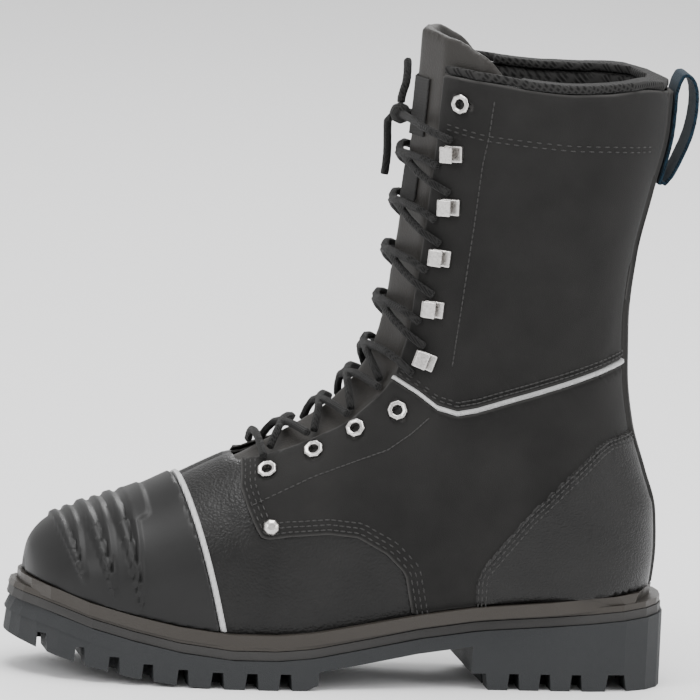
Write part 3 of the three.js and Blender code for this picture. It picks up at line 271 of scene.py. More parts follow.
def form_normal(u, turn):
    """Straight out of the form, found from the points just beside this one."""
    ahead, behind = np.minimum(u + SMALL_TURN, LAST_RIB), np.maximum(u - SMALL_TURN, 0)
    by_rib = bare_form(ahead, turn) - bare_form(behind, turn)
    by_turn = bare_form(u, turn + SMALL_TURN) - bare_form(u, turn - SMALL_TURN)
    normal = np.cross(by_rib, by_turn)
    return normal / np.maximum(np.linalg.norm(normal, axis=-1, keepdims=True), TINY)


def rib_at(x, z):
    """The rib and the turn of a place in the side view, in millimetres, on the inner side."""
    x, z = np.asarray(x, float), np.asarray(z, float)
    low, high = np.zeros_like(x), np.full_like(x, LAST_RIB)
    for _ in range(FINE_HALVINGS):
        u = (low + high) / 2
        foot, crest = side_point(u, 0 * u), side_point(u, 0 * u + 1)
        behind = (crest[0] - foot[0]) * (z - foot[1]) - (crest[1] - foot[1]) * (x - foot[0]) < 0
        low, high = np.where(behind, u, low), np.where(behind, high, u)
    foot, crest = side_point(low, 0 * low), side_point(low, 0 * low + 1)
    reach = (crest[0] - foot[0]) ** 2 + (crest[1] - foot[1]) ** 2
    v = ((x - foot[0]) * (crest[0] - foot[0]) + (z - foot[1]) * (crest[1] - foot[1])) / reach
    return low, 2 * np.arccos(np.sqrt(np.clip(v, 0, 1)))


def turn_for_width(u, y):
    """The turn at which rib u is y from the form's middle, on the crest's side of its widest place."""
    low, high = np.zeros_like(u), np.full_like(u, math.pi / 2)
    for _ in range(HALVINGS):
        turn = (low + high) / 2
        wide_enough = half_width(u, np.cos(turn / 2) ** 2) > y
        low, high = np.where(wide_enough, low, turn), np.where(wide_enough, turn, high)
    return low


def turn_for_back(u, y):
    """The turn at which rib u is y from the form's middle, on the back's side."""
    low, high = np.full_like(u, math.pi / 2), np.full_like(u, math.pi)
    for _ in range(HALVINGS):
        turn = (low + high) / 2
        wide_enough = half_width(u, np.cos(turn / 2) ** 2) > y
        low, high = np.where(wide_enough, turn, low), np.where(wide_enough, high, turn)
    return low


# Leather is cut flat: ribs are spread to their mean distance on the sheet, and turns to a mean girth
RIB_GRID = np.linspace(0, LAST_RIB, 521)
GIRTH_PER_RADIAN = 42
SHEET_TURNS = (0.4, 1.4, 2.4)
rib_steps = np.zeros(len(RIB_GRID) - 1)
for sheet_turn in SHEET_TURNS:
    rib_steps += np.linalg.norm(np.diff(bare_form(RIB_GRID, sheet_turn), axis=0), axis=1)
rib_spread = np.concatenate(([0], np.cumsum(rib_steps))) / len(SHEET_TURNS)
OUTLINE_STEP = 1.0


def on_sheet(line):
    return np.stack([np.interp(line[:, 0], RIB_GRID, rib_spread), line[:, 1] * GIRTH_PER_RADIAN], -1)


def off_sheet(flat):
    return np.stack([np.interp(flat[:, 0], rib_spread, RIB_GRID), flat[:, 1] / GIRTH_PER_RADIAN], -1)


def spaced(line, step, closed=False):
    """The same line with points about a step apart."""
    line = np.asarray(line, float)
    if closed:
        line = np.vstack([line, line[:1]])
    runs = np.linalg.norm(np.diff(line, axis=0), axis=1)
    keep = np.concatenate(([True], runs > TINY))
    line, runs = line[keep], runs[runs > TINY]
    reach = np.concatenate(([0], np.cumsum(runs)))
    count = max(int(round(reach[-1] / step)), 2)
    places = np.linspace(0, reach[-1], count + 1)
    made = np.stack([np.interp(places, reach, line[:, c]) for c in range(line.shape[1])], -1)
    return made[:-1] if closed else made


def side_line(shares, side, step=OUTLINE_STEP, dx=0.0, dz=0.0):
    """A line drawn in the side view, laid on one side of the form as ribs and turns."""
    flat = np.array([(along(x) + dx, z * COLLAR_HEIGHT + dz) for x, z in shares])
    flat = spaced(flat, step)
    u, turn = rib_at(flat[:, 0], flat[:, 1])
    return np.stack([u, turn * side], -1)


def inside(points, outline):
    """Which flat points lie inside a closed flat line."""
    result = np.zeros(len(points), bool)
    x, y = points[:, 0], points[:, 1]
    for (ax, ay), (bx, by) in zip(outline, np.roll(outline, -1, axis=0)):
        crosses = (ay > y) != (by > y)
        if crosses.any():
            result ^= crosses & (x < (bx - ax) * (y - ay) / (by - ay) + ax)
    return result


def near_line(points, line):
    """The distance of each point from the nearest point of a line, in millimetres."""
    tree = KDTree(len(line))
    for i, point in enumerate(line):
        tree.insert(point, i)
    tree.balance()
    return np.array([tree.find(point)[2] for point in points])


SHARP_FOLD = math.radians(50)


def mesh_piece(name, points, faces, materials):
    """A piece from points in millimetres, without the points that no face uses."""
    mesh = bpy.data.meshes.new(name)
    used, numbers = np.unique(np.concatenate([np.asarray(face) for face in faces]), return_inverse=True)
    kept = iter(numbers.tolist())
    mesh.from_pydata((points[used] / 1000).tolist(), [], [[next(kept) for _ in face] for face in faces])
    mesh.validate()
    for material in materials:
        mesh.materials.append(material)
    mesh.shade_smooth()
    mesh.set_sharp_from_angle(angle=SHARP_FOLD)
    piece = bpy.data.objects.new(name, mesh)
    bpy.context.collection.objects.link(piece)
    return piece


def fitted(piece, slot, *nodes):
    """Hands a finished piece to the frame."""
    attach(piece, "root")
    if nodes:
        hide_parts(*nodes)
    return piece


POINTS_AT_ONCE = 2000
SNAP_SHARE = 0.32


def nearest_on(points, outline):
    """The nearest point of a closed flat line for each flat point."""
    start, run = outline, np.roll(outline, -1, axis=0) - outline
    length = np.maximum((run * run).sum(1), TINY)
    nearest = np.empty_like(points)
    for first in range(0, len(points), POINTS_AT_ONCE):
        part = points[first:first + POINTS_AT_ONCE, None]
        t = np.clip(((part - start) * run).sum(-1) / length, 0, 1)
        foot = start + run * t[..., None]
        best = ((foot - part) ** 2).sum(-1).argmin(1)
        nearest[first:first + POINTS_AT_ONCE] = foot[np.arange(len(best)), best]
    return nearest


def clipped_sheet(outline, spacing):
    """Triangles inside a closed flat line: a lattice, with the points near the line moved onto it."""
    lowest, highest = outline.min(0) - spacing, outline.max(0) + spacing
    columns, rows = np.ceil((highest - lowest) / spacing).astype(int) + 1
    grid = np.stack(np.meshgrid(np.arange(columns), np.arange(rows), indexing="ij"), -1)
    points = lowest + grid.reshape(-1, 2) * spacing
    nearest = nearest_on(points, outline)
    away = np.linalg.norm(points - nearest, axis=1)
    level_of = np.where(inside(points, outline), away, -away)
    snapped = away < spacing * SNAP_SHARE
    points = np.where(snapped[:, None], nearest, points)
    level_of[snapped] = 0
    corner = (np.arange(columns - 1)[:, None] * rows + np.arange(rows - 1)).ravel()
    right_half = np.stack([corner, corner + rows, corner + rows + 1], -1)
    left_half = np.stack([corner, corner + rows + 1, corner + 1], -1)
    triangles = np.vstack([right_half, left_half])
    levels = level_of[triangles]
    whole = triangles[(levels >= 0).all(1)]
    whole = whole[inside(points[whole].mean(1), outline)]
    made_points, made, cuts = list(points), [tuple(t) for t in whole], {}

    def cut(a, b):
        key = (min(a, b), max(a, b))
        if key not in cuts:
            share = level_of[a] / (level_of[a] - level_of[b])
            cuts[key] = len(made_points)
            made_points.append(points[a] + (points[b] - points[a]) * share)
        return cuts[key]

    for triangle in triangles[(levels > 0).any(1) & (levels < 0).any(1)]:
        corners = []
        for a, b in zip(triangle, np.roll(triangle, -1)):
            if level_of[a] >= 0:
                corners.append(a)
            if level_of[a] * level_of[b] < 0:
                corners.append(cut(a, b))
        made += [(corners[0], corners[i], corners[i + 1]) for i in range(1, len(corners) - 1)]
    return np.array(made_points), np.array(made)


AT_CREST = 1e-6
EDGE_SHARE = 0.35
WELD_DIGITS = 2


def cut_panel(name, outline, low, top, materials, spacing, edge, relief=None, holes=()):
    """Leather cut to a closed line of ribs and turns, from low to top above the form, with rounded edges."""
    border = on_sheet(off_sheet(spaced(on_sheet(outline), OUTLINE_STEP, closed=True)))
    if np.cross(border, np.roll(border, -1, axis=0)).sum() < 0:
        border = border[::-1]
    flat, triangles = clipped_sheet(border, spacing)
    line = off_sheet(flat)
    base = bare_form(line[:, 0], line[:, 1])
    normal = form_normal(line[:, 0], line[:, 1])
    at_tip = line[:, 0] < AT_CREST
    normal[at_tip] = (-1, 0, 0)
    base[at_tip, 1] = middle(base[at_tip, 0], base[at_tip, 2])
    for centre, reach in holes:
        middle_of = base[triangles].mean(1)
        triangles = triangles[np.linalg.norm(middle_of - centre, axis=1) > reach]
    weld = {}
    places = np.round(base, WELD_DIGITS)
    same = np.array([weld.setdefault(tuple(place), i) for i, place in enumerate(places)])
    triangles = same[triangles]
    a, b, c = triangles.T
    triangles = triangles[(a != b) & (b != c) & (c != a)]
    uses = {}
    for a, b, c in triangles:
        for pair in ((a, b), (b, c), (c, a)):
            uses[frozenset(pair)] = None if frozenset(pair) in uses else pair
    open_edges = [pair for pair in uses.values() if pair]
    rim = base[sorted({i for pair in open_edges for i in pair})]
    distance = near_line(base, rim)
    profile = np.sqrt(1 - (1 - np.clip(distance / edge, 0, 1)) ** 2)
    height = low + (top - low) * (EDGE_SHARE + (1 - EDGE_SHARE) * profile)
    if relief is not None:
        height = height + relief(base)
    give = leather_give(base)
    upper_side = base + normal * (height + give)[:, None]
    lower_side = base + normal * (low + give)[:, None]
    count = len(base)
    faces = [(a, b, c) for a, b, c in triangles]
    under = [(c + count, b + count, a + count) for a, b, c in triangles]
    walls = [(b, a, a + count, b + count) for a, b in open_edges]
    piece = mesh_piece(name, np.vstack([upper_side, lower_side]), faces + walls + under, materials)
    if len(materials) > 1:
        slots = [0] * (len(faces) + len(walls)) + [1] * len(under)
        piece.data.polygons.foreach_set("material_index", slots)
    store = piece.data.attributes.new("edge_mm", "FLOAT", "POINT")
    worn = np.concatenate([distance, distance * 0])
    store.data.foreach_set("value", worn[sorted({i for face in faces + walls + under for i in face})])
    return piece


# Creases worn into the leather, placed on each side: where the vamp bends, and round the ankle.
# Each is a line in the side view, its half width and its depth, in millimetres.
CREASE_FADE = 0.6
LIP_SHARE = 0.35
LIP_PLACE = 1.5
LIP_WIDTH = 0.6
VALLEY_WIDTH = 0.7
END_SHARE = 0.04
CREASES = {
    -1: (
        (((-183, 92), (-176, 79), (-172, 66), (-171, 55)), 3.2, 0.55),
        (((-168, 99), (-160, 84), (-157, 72), (-158, 60)), 3.6, 0.50),
        (((-150, 62), (-146, 56), (-147, 49)), 2.8, 0.30),
        (((-66, 168), (-52, 163), (-38, 165), (-24, 172)), 4.2, 0.60),
        (((-72, 186), (-57, 183), (-44, 188), (-30, 198)), 4.6, 0.55),
        (((-48, 118), (-30, 112), (-14, 117), (0, 128)), 4.4, 0.45),
        (((-62, 215), (-46, 211), (-30, 217)), 4.0, 0.35),
        (((2, 150), (8, 165), (10, 182)), 4.4, 0.40),
    ),
    1: (
        (((-182, 90), (-174, 76), (-170, 60)), 3.4, 0.50),
        (((-166, 97), (-159, 80), (-155, 64)), 3.4, 0.45),
        (((-64, 172), (-48, 165), (-30, 170)), 4.4, 0.60),
        (((-70, 192), (-50, 186), (-28, 196)), 4.6, 0.50),
        (((-44, 124), (-26, 115), (-6, 124)), 4.2, 0.45),
        (((0, 140), (8, 160), (9, 178)), 4.2, 0.40),
    ),
}


def leather_give(points):
    """How far the worn leather stands out or sinks in, in millimetres."""
    give = np.zeros(len(points))
    flat = points[:, [0, 2]]
    for side, creases in CREASES.items():
        here = np.sign(points[:, 1]) == side
        for line, half, depth in creases:
            line = spaced(line, OUTLINE_STEP)
            away = np.linalg.norm(flat[here, None] - line, axis=2)
            share = np.clip(away.argmin(1) / (len(line) - 1), END_SHARE, 1 - END_SHARE)
            away = away.min(1)
            fade = np.sin(math.pi * share) ** CREASE_FADE
            lips = LIP_SHARE * np.exp(-((away - half * LIP_PLACE) / (half * LIP_WIDTH)) ** 2)
            give[here] += depth * fade * (lips - np.exp(-(away / (half * VALLEY_WIDTH)) ** 2))
    return give


def grain_group():
    """Leather grain: pebbles of a named size and pores, as a height, and slow patches of wear as a mask."""
    group = bpy.data.node_groups.new("leather_grain", "ShaderNodeTree")
    for name, value in (("Pebble", 900.0), ("Pore", 2600.0), ("Pebble Share", 0.7)):
        socket = group.interface.new_socket(name, in_out="INPUT", socket_type="NodeSocketFloat")
        socket.default_value = value
    for name in ("Height", "Wear"):
        group.interface.new_socket(name, in_out="OUTPUT", socket_type="NodeSocketFloat")
    nodes, links = group.nodes, group.links
    start, end = nodes.new("NodeGroupInput"), nodes.new("NodeGroupOutput")
    place = nodes.new("ShaderNodeTexCoord")
    wobble = nodes.new("ShaderNodeTexNoise")
    wobble.inputs["Scale"].default_value = 140
    drift = nodes.new("ShaderNodeMixRGB")
    drift.blend_type = "LINEAR_LIGHT"
    drift.inputs["Fac"].default_value = 0.0016
    links.new(place.outputs["Object"], wobble.inputs["Vector"])
    links.new(place.outputs["Object"], drift.inputs["Color1"])
    links.new(wobble.outputs["Color"], drift.inputs["Color2"])
    pebble = nodes.new("ShaderNodeTexVoronoi")
    pebble.feature = "SMOOTH_F1"
    pebble.inputs["Smoothness"].default_value = 0.35
    pore = nodes.new("ShaderNodeTexNoise")
    pore.inputs["Detail"].default_value = 3
    wear = nodes.new("ShaderNodeTexNoise")
    wear.inputs["Scale"].default_value = 34
    wear.inputs["Detail"].default_value = 5
    links.new(drift.outputs["Color"], pebble.inputs["Vector"])
    links.new(start.outputs["Pebble"], pebble.inputs["Scale"])
    links.new(place.outputs["Object"], pore.inputs["Vector"])
    links.new(start.outputs["Pore"], pore.inputs["Scale"])
    links.new(place.outputs["Object"], wear.inputs["Vector"])
    round_top = nodes.new("ShaderNodeMapRange")
    round_top.inputs["From Max"].default_value = 0.75
    round_top.inputs["To Min"].default_value = 1
    round_top.inputs["To Max"].default_value = 0
    blend = nodes.new("ShaderNodeMix")
    links.new(pebble.outputs["Distance"], round_top.inputs["Value"])
    links.new(start.outputs["Pebble Share"], blend.inputs["Factor"])
    links.new(pore.outputs["Fac"], blend.inputs["A"])
    links.new(round_top.outputs["Result"], blend.inputs["B"])
    links.new(blend.outputs["Result"], end.inputs["Height"])
    links.new(wear.outputs["Fac"], end.inputs["Wear"])
    return group


def ramp(nodes, links, source, stops):
    """A colour ramp fed by a value: stops are (place, colour)."""
    made = nodes.new("ShaderNodeValToRGB")
    made.color_ramp.elements[0].position, made.color_ramp.elements[0].color = stops[0]
    made.color_ramp.elements[1].position, made.color_ramp.elements[1].color = stops[-1]
    for place, colour in stops[1:-1]:
        made.color_ramp.elements.new(place).color = colour
    links.new(source, made.inputs["Fac"])
    return made.outputs["Color"]


def grey(value, warm=0.0):
    return (value * (1 + warm), value, value * (1 - warm), 1)


leather_grain = grain_group()
GRAIN_RELIEF = 0.0004
ROUGH_SPREAD = 0.08
RUBBED_WIDTH = (1.3, 0.1)


def grained(name, rough, pebble, pore, share, bump, coat=0.0, sheen=0.0, shine=0.28):
    """A material with grain in its relief, and with a gloss that changes where it is worn."""
    material = bpy.data.materials.new(name)
    material.use_nodes = True
    nodes, links = material.node_tree.nodes, material.node_tree.links
    skin = nodes["Principled BSDF"]
    grain = nodes.new("ShaderNodeGroup")
    grain.node_tree = leather_grain
    grain.inputs["Pebble"].default_value = pebble
    grain.inputs["Pore"].default_value = pore
    grain.inputs["Pebble Share"].default_value = share
    gloss = nodes.new("ShaderNodeMapRange")
    gloss.inputs["From Min"].default_value = 0.3
    gloss.inputs["From Max"].default_value = 0.75
    gloss.inputs["To Min"].default_value = rough - ROUGH_SPREAD
    gloss.inputs["To Max"].default_value = rough + ROUGH_SPREAD
    links.new(grain.outputs["Wear"], gloss.inputs["Value"])
    links.new(gloss.outputs["Result"], skin.inputs["Roughness"])
    relief = nodes.new("ShaderNodeBump")
    relief.inputs["Strength"].default_value = bump
    relief.inputs["Distance"].default_value = GRAIN_RELIEF
    links.new(grain.outputs["Height"], relief.inputs["Height"])
    links.new(relief.outputs["Normal"], skin.inputs["Normal"])
    skin.inputs["Specular IOR Level"].default_value = shine
    skin.inputs["Coat Weight"].default_value = coat
    skin.inputs["Coat Roughness"].default_value = 0.35
    skin.inputs["Sheen Weight"].default_value = sheen
    skin.inputs["Sheen Roughness"].default_value = 0.5
    return material, nodes, links, skin, grain


def leather(name, dark, light, rim, warm=0.03, **finish):
    """Grained skin from a dark to a light tone, with a rim tone along cut and folded edges."""
    material, nodes, links, skin, grain = grained(name, **finish)
    tones = [(0.30, grey(dark, warm)), (0.72, grey(light, warm))]
    body = ramp(nodes, links, grain.outputs["Wear"], tones)
    edge = nodes.new("ShaderNodeAttribute")
    edge.attribute_name = "edge_mm"
    rubbed = nodes.new("ShaderNodeMapRange")
    rubbed.inputs["From Min"].default_value, rubbed.inputs["From Max"].default_value = RUBBED_WIDTH
    links.new(edge.outputs["Fac"], rubbed.inputs["Value"])
    mix = nodes.new("ShaderNodeMix")
    mix.data_type = "RGBA"
    mix.inputs["B"].default_value = grey(rim, warm)
    links.new(rubbed.outputs["Result"], mix.inputs["Factor"])
    links.new(body, mix.inputs["A"])
    links.new(mix.outputs["Result"], skin.inputs["Base Color"])
    return material


def plain_skin(name, tone, warm=0.03, **finish):
    """Grained skin in one tone, for moulded rubber, padding and the backs of panels."""
    material, nodes, links, skin, grain = grained(name, **finish)
    skin.inputs["Base Color"].default_value = grey(tone, warm)
    return material


vamp_leather = leather(
    "vamp_leather", dark=0.005, light=0.010, rim=0.02,
    rough=0.40, pebble=760, pore=2600, share=0.75, bump=0.8, coat=0.09, shine=0.22,
)
lining_cloth = plain_skin("lining_cloth", tone=0.03, rough=0.9, pebble=1500, pore=3000, share=0.6, bump=0.6)
THROAT_START = THROAT[0][0]
UPPER_WALL = 2.2
BEAD_HEIGHT = 4.6
BINDING_HEIGHT = 4.2
PANEL_TOP = 1.8


RIB_STEP = 0.1
SHARE_STEP = 0.004
COLLAR_POINTS = 240
HEEL_POINTS = 60
CREST_POINTS = 60
COLLAR_RIBS = (22, LAST_RIB)
HEEL_RIBS = (13, 19)
SHAFT_RIB = 13


def throat_line(first, last, side):
    """The edge of the throat between two ribs."""
    u = np.linspace(first, last, int(abs(last - first) / RIB_STEP) + 2)
    return np.stack([u, side * turn_for_width(u, BALL_WIDTH * throat_share(u))], -1)


def welt_line(first, last, side, rise):
    """The line where the form meets a height above the welt, between two shares of the sole's length."""
    shares = np.linspace(first, last, int(abs(last - first) / SHARE_STEP) + 2)
    x = along(shares)
    u, turn = rib_at(x, welt_top(x) + rise)
    return np.stack([u, side * turn], -1)


def wrap(line):
    """Turns counted from the crest over the inner side and the back, 0 to 2 pi."""
    return np.stack([line[:, 0], np.mod(line[:, 1], 2 * math.pi)], -1)


def collar_line(drop, first_turn, last_turn):
    """The collar's edge, lowered, from one turn to another round the back."""
    turn = np.linspace(first_turn, last_turn, COLLAR_POINTS)
    low, high = (np.full(COLLAR_POINTS, float(rib_end)) for rib_end in COLLAR_RIBS)
    for _ in range(HALVINGS):
        u = (low + high) / 2
        x, z = side_point(u, np.cos(turn / 2) ** 2)
        under = z < collar_share(share_along(x)) * COLLAR_HEIGHT - drop
        low, high = np.where(under, u, low), np.where(under, high, u)
    return np.stack([low, turn], -1)


def heel_line(rise, first_turn, last_turn):
    """The line where the back of the form meets a height above the welt, from one turn to another."""
    turn = np.linspace(first_turn, last_turn, HEEL_POINTS)
    low, high = (np.full(HEEL_POINTS, float(rib_end)) for rib_end in HEEL_RIBS)
    for _ in range(HALVINGS):
        u = (low + high) / 2
        x, z = side_point(u, np.cos(turn / 2) ** 2)
        under = z < welt_top(x) + rise
        low, high = np.where(under, u, low), np.where(under, high, u)
    return np.stack([low, turn], -1)


OPEN_TURN = 0.9


def upper_outline():
    """Up the inner edge of the throat, round the collar, down the outer edge, and round the foot."""
    last = collar_line(BINDING_HEIGHT + SEAM_GAP, OPEN_TURN, 2 * math.pi - OPEN_TURN)[0, 0]
    first_turn = turn_for_width(np.array([last]), BALL_WIDTH * throat_share(last))[0]
    top = collar_line(BINDING_HEIGHT + SEAM_GAP, first_turn, 2 * math.pi - first_turn)
    last = top[0, 0]
    crest = np.stack([np.linspace(0, THROAT_START, CREST_POINTS), np.zeros(CREST_POINTS)], -1)
    far_crest = crest[::-1] + (0, 2 * math.pi)
    inner_edge = throat_line(THROAT_START, last, 1)
    outer_edge = wrap(throat_line(last, THROAT_START, -1))
    heel = heel_line(SEAM_GAP, math.pi + OPEN_TURN, math.pi - OPEN_TURN)
    heel_x = side_point(heel[0, 0], np.cos(heel[0, 1] / 2) ** 2)[0]
    outer_foot = wrap(welt_line(TOE_TIP, share_along(heel_x), -1, SEAM_GAP))
    inner_foot = welt_line(share_along(heel_x), TOE_TIP, 1, SEAM_GAP)
    return np.vstack([crest, inner_edge, top, outer_edge, far_crest, outer_foot, heel, inner_foot])


upper_skins = [vamp_leather, lining_cloth]
upper = cut_panel("upper", upper_outline(), -UPPER_WALL, 0, upper_skins, spacing=3.5, edge=0.8)
fitted(upper, "grained_leather", "upper")

# Quarters: the matte panels on both sides of the foot, which carry the low eyelets.
# They are cut from charcoal nubuck and sewn over the vamp with three rows of stitches.
QUARTER_FRONT = (
    (0.352, 0.440), (0.341, 0.369), (0.333, 0.320), (0.341, 0.290), (0.352, 0.262), (0.361, 0.246),
    (0.373, 0.244), (0.403, 0.249), (0.463, 0.254), (0.508, 0.249), (0.554, 0.222), (0.583, 0.191),
    (0.602, 0.100),
)
SHAFT_SEAM = (
    (0.40, 0.505), (0.560, 0.505), (0.594, 0.484), (0.623, 0.461), (0.654, 0.452), (0.683, 0.458),
    (0.787, 0.493), (0.854, 0.515), (0.900, 0.529), (1.000, 0.552),
)
COUNTER_EDGE = (
    (0.692, 0.100), (0.692, 0.178), (0.695, 0.195), (0.710, 0.216), (0.764, 0.287),
    (0.826, 0.354), (0.869, 0.400), (0.884, 0.411), (0.930, 0.420), (1.000, 0.420),
)
LOW_EYELETS = ((0.374, 0.346), (0.443, 0.381), (0.505, 0.419), (0.565, 0.453))
TOP_EYELET = (0.639, 0.958)
EYELET_HOLE = 3.4
BACKSTAY_HALF = 13
SEAM_HALF = 1.2
PANEL_FLOOR = BEAD_HEIGHT + SEAM_GAP
SIDES = (("outer", -1), ("inner", 1))
LEAST_TURN = 0.01
QUARTER_REAR = ((0.65, 0.08), (0.72, 0.08))
UNDER_COUNTER = (0.012, -0.005)
nubuck = leather(
    "nubuck", dark=0.010, light=0.019, rim=0.045,
    rough=0.85, pebble=2400, pore=5200, share=0.35, bump=0.6, sheen=0.06, shine=0.14,
)
nubuck_back = plain_skin(
    "nubuck_back", tone=0.03, rough=0.9, pebble=2400, pore=5200, share=0.35, bump=0.2, shine=0.12,
)
nubuck_skins = [nubuck, nubuck_back]


def kept_between(line, side):
    """A panel's line held between the throat, the backstay, the welt and the collar."""
    u, turn = line[:, 0], np.abs(line[:, 1])
    x, z = side_point(u, np.cos(turn / 2) ** 2)
    low_z = welt_top(x) + PANEL_FLOOR
    high_z = collar_share(share_along(x)) * COLLAR_HEIGHT - (BINDING_HEIGHT + SEAM_GAP)
    outside = (z < low_z) | (z > high_z)
    moved_u, moved_turn = rib_at(x, np.clip(z, low_z, high_z))
    u, turn = np.where(outside, moved_u, u), np.where(outside, moved_turn, turn)
    front = np.where(u > THROAT_START, turn_for_width(u, BALL_WIDTH * throat_share(u)), 0)
    rear = np.where(u > SHAFT_RIB, turn_for_back(u, BACKSTAY_HALF + SEAM_GAP), math.pi)
    return np.stack([u, side * np.clip(turn, front, np.maximum(rear, front + LEAST_TURN))], -1)


def eyelet_holes(side, places):
    """The eyelets' places on the form, each with the radius of its hole."""
    x, z = (np.array(column) for column in zip(*places))
    u, turn = rib_at(along(x), z * COLLAR_HEIGHT)
    return [(centre, EYELET_HOLE) for centre in bare_form(u, side * turn)]


def lifted(line, rise):
    """A line of shares raised by a height in millimetres."""
    return tuple((x, z + rise / COLLAR_HEIGHT) for x, z in line)


counter_lap = tuple((x + UNDER_COUNTER[0], z + UNDER_COUNTER[1]) for x, z in COUNTER_EDGE)
quarter_top = lifted(SHAFT_SEAM[::-1], -(SEAM_HALF + SEAM_GAP))
quarter_shape = QUARTER_FRONT + QUARTER_REAR + counter_lap + quarter_top
for name, side in SIDES:
    outline = kept_between(side_line(quarter_shape + quarter_shape[:1], side), side)
    holes = eyelet_holes(side, LOW_EYELETS)
    quarter = cut_panel(
        f"quarter_{name}", outline, SEAM_GAP, PANEL_TOP, nubuck_skins, spacing=2.2, edge=1.0, holes=holes,
    )
    fitted(quarter, "nubuck_leather", f"quarter_{name}")

# Shaft panels: one tall piece on each side above the ankle seam, in the same nubuck.
# Each is cut with a hole for the top eyelet and ends under the collar's binding.
SHAFT_BOUNDS = ((1.02, 0.60), (1.02, 1.04), (0.40, 1.04))
shaft_foot = lifted(SHAFT_SEAM, SEAM_HALF + SEAM_GAP)
shaft_shape = shaft_foot + SHAFT_BOUNDS + shaft_foot[:1]
for name, side in SIDES:
    outline = kept_between(side_line(shaft_shape, side), side)
    holes = eyelet_holes(side, (TOP_EYELET,))
    panel = cut_panel(
        f"shaft_panel_{name}", outline, SEAM_GAP, PANEL_TOP, nubuck_skins, spacing=2.6, edge=1.0, holes=holes,
    )
    fitted(panel, "nubuck_leather", f"shaft_panel_{name}")

# Piping: a light reflective tape, caught in the ankle seam between quarter and shaft.
# It stands a little prouder than the panels on both sides of it.
PIPING_TOP = 2.6
light_tape = leather(
    "light_tape", dark=0.42, light=0.52, rim=0.5, warm=0.0,
    rough=0.40, pebble=1400, pore=3600, share=0.2, bump=0.12, coat=0.1,
)
piping_low = lifted(SHAFT_SEAM, -SEAM_HALF)
piping_shape = piping_low + lifted(SHAFT_SEAM[::-1], SEAM_HALF) + piping_low[:1]
for name, side in SIDES:
    outline = kept_between(side_line(piping_shape, side), side)
    piping = cut_panel(
        f"piping_{name}", outline, SEAM_GAP, PIPING_TOP, [light_tape], spacing=0.6, edge=0.9,
    )
    fitted(piping, "reflective_trim", f"piping_{name}")

# Heel counters: glossy pebbled leather cups on both sides of the heel.
# Each laps over the quarter and is sewn to it with three rows of stitches.
COUNTER_TOP = 2.9
COUNTER_REAR = ((1.02, 0.42), (1.02, 0.08))
counter_leather = leather(
    "counter_leather", dark=0.005, light=0.010, rim=0.02,
    rough=0.37, pebble=1050, pore=3200, share=0.8, bump=0.8, coat=0.10, shine=0.24,
)
counter_shape = COUNTER_EDGE + COUNTER_REAR + COUNTER_EDGE[:1]
for name, side in SIDES:
    outline = kept_between(side_line(counter_shape, side), side)
    counter_skins = [counter_leather, nubuck_back]
    counter = cut_panel(
        f"heel_counter_{name}", outline, SEAM_GAP, COUNTER_TOP, counter_skins, spacing=2.2, edge=1.2,
    )
    fitted(counter, "grained_leather", f"heel_counter_{name}")

# Backstay: the nubuck strip up the back seam, from the welt to the collar.
# It is the thickest of the leathers, and closes the gap between the two sides.
BACKSTAY_TOP = 3.4
BACK_TURN = 0.6
BACKSTAY_POINTS = 160


def backstay_outline():
    """Round the collar, down the outer edge, round the heel and up the inner edge."""
    def edge_turn(u):
        return turn_for_back(np.atleast_1d(u), BACKSTAY_HALF)

    top = collar_line(BINDING_HEIGHT + SEAM_GAP, math.pi - BACK_TURN, math.pi + BACK_TURN)
    foot = heel_line(PANEL_FLOOR, math.pi + BACK_TURN, math.pi - BACK_TURN)
    top = top[np.abs(top[:, 1] - math.pi) <= math.pi - edge_turn(top[:, 0])]
    foot = foot[np.abs(foot[:, 1] - math.pi) <= math.pi - edge_turn(foot[:, 0])]
    down = np.linspace(top[-1, 0], foot[0, 0], BACKSTAY_POINTS)
    up_again = np.linspace(foot[-1, 0], top[0, 0], BACKSTAY_POINTS)
    outer = np.stack([down, 2 * math.pi - edge_turn(down)], -1)
    inner = np.stack([up_again, edge_turn(up_again)], -1)
    return np.vstack([top, outer, foot, inner])


backstay = cut_panel(
    "backstay", backstay_outline(), SEAM_GAP, BACKSTAY_TOP, nubuck_skins, spacing=2.0, edge=1.2,
)
fitted(backstay, "nubuck_leather", "backstay")

# Toe cap: thick moulded rubber over the toe, with three tapering claw ridges on each side
# that meet over the top, each with a slimmer ridge behind it, and a bare raised plate.
CAP_EDGE = ((0.239, 0.40), (0.243, 0.330), (0.262, 0.260), (0.288, 0.160), (0.312, 0.060))
CAP_TOP = 2.6
STRIP_WIDTH = 3
RIDGE_RISE = 1.7
RIDGES = (
    ((0.066, 0.262), (0.106, 0.158)),
    ((0.108, 0.276), (0.149, 0.137)),
    ((0.150, 0.290), (0.188, 0.121)),
)
RIDGE_ROWS = ((0.0, 3.6, 1.0), (8.2, 2.2, 0.75))
RIDGE_TIP = 0.25
RIDGE_FLANK = 0.55
RIDGE_FADE = (-1, 5)
PLATE_OUTLINE = (
    (0.166, 0.40), (0.168, 0.262), (0.172, 0.247), (0.201, 0.262), (0.203, 0.275), (0.204, 0.40),
)
PLATE_RISE = 1.1
PLATE_FLANK = 1.2
CAP_STEP = 0.6


def cap_line(gap, side):
    """The cap's rear edge on one side, moved back by a gap, from the crest to the welt."""
    line = side_line(CAP_EDGE, side, CAP_STEP, dx=gap)
    x, z = side_point(line[:, 0], np.cos(line[:, 1] / 2) ** 2)
    keep = (z > welt_top(x) + PANEL_FLOOR) & (np.abs(line[:, 1]) > AT_CREST)
    return line[keep]


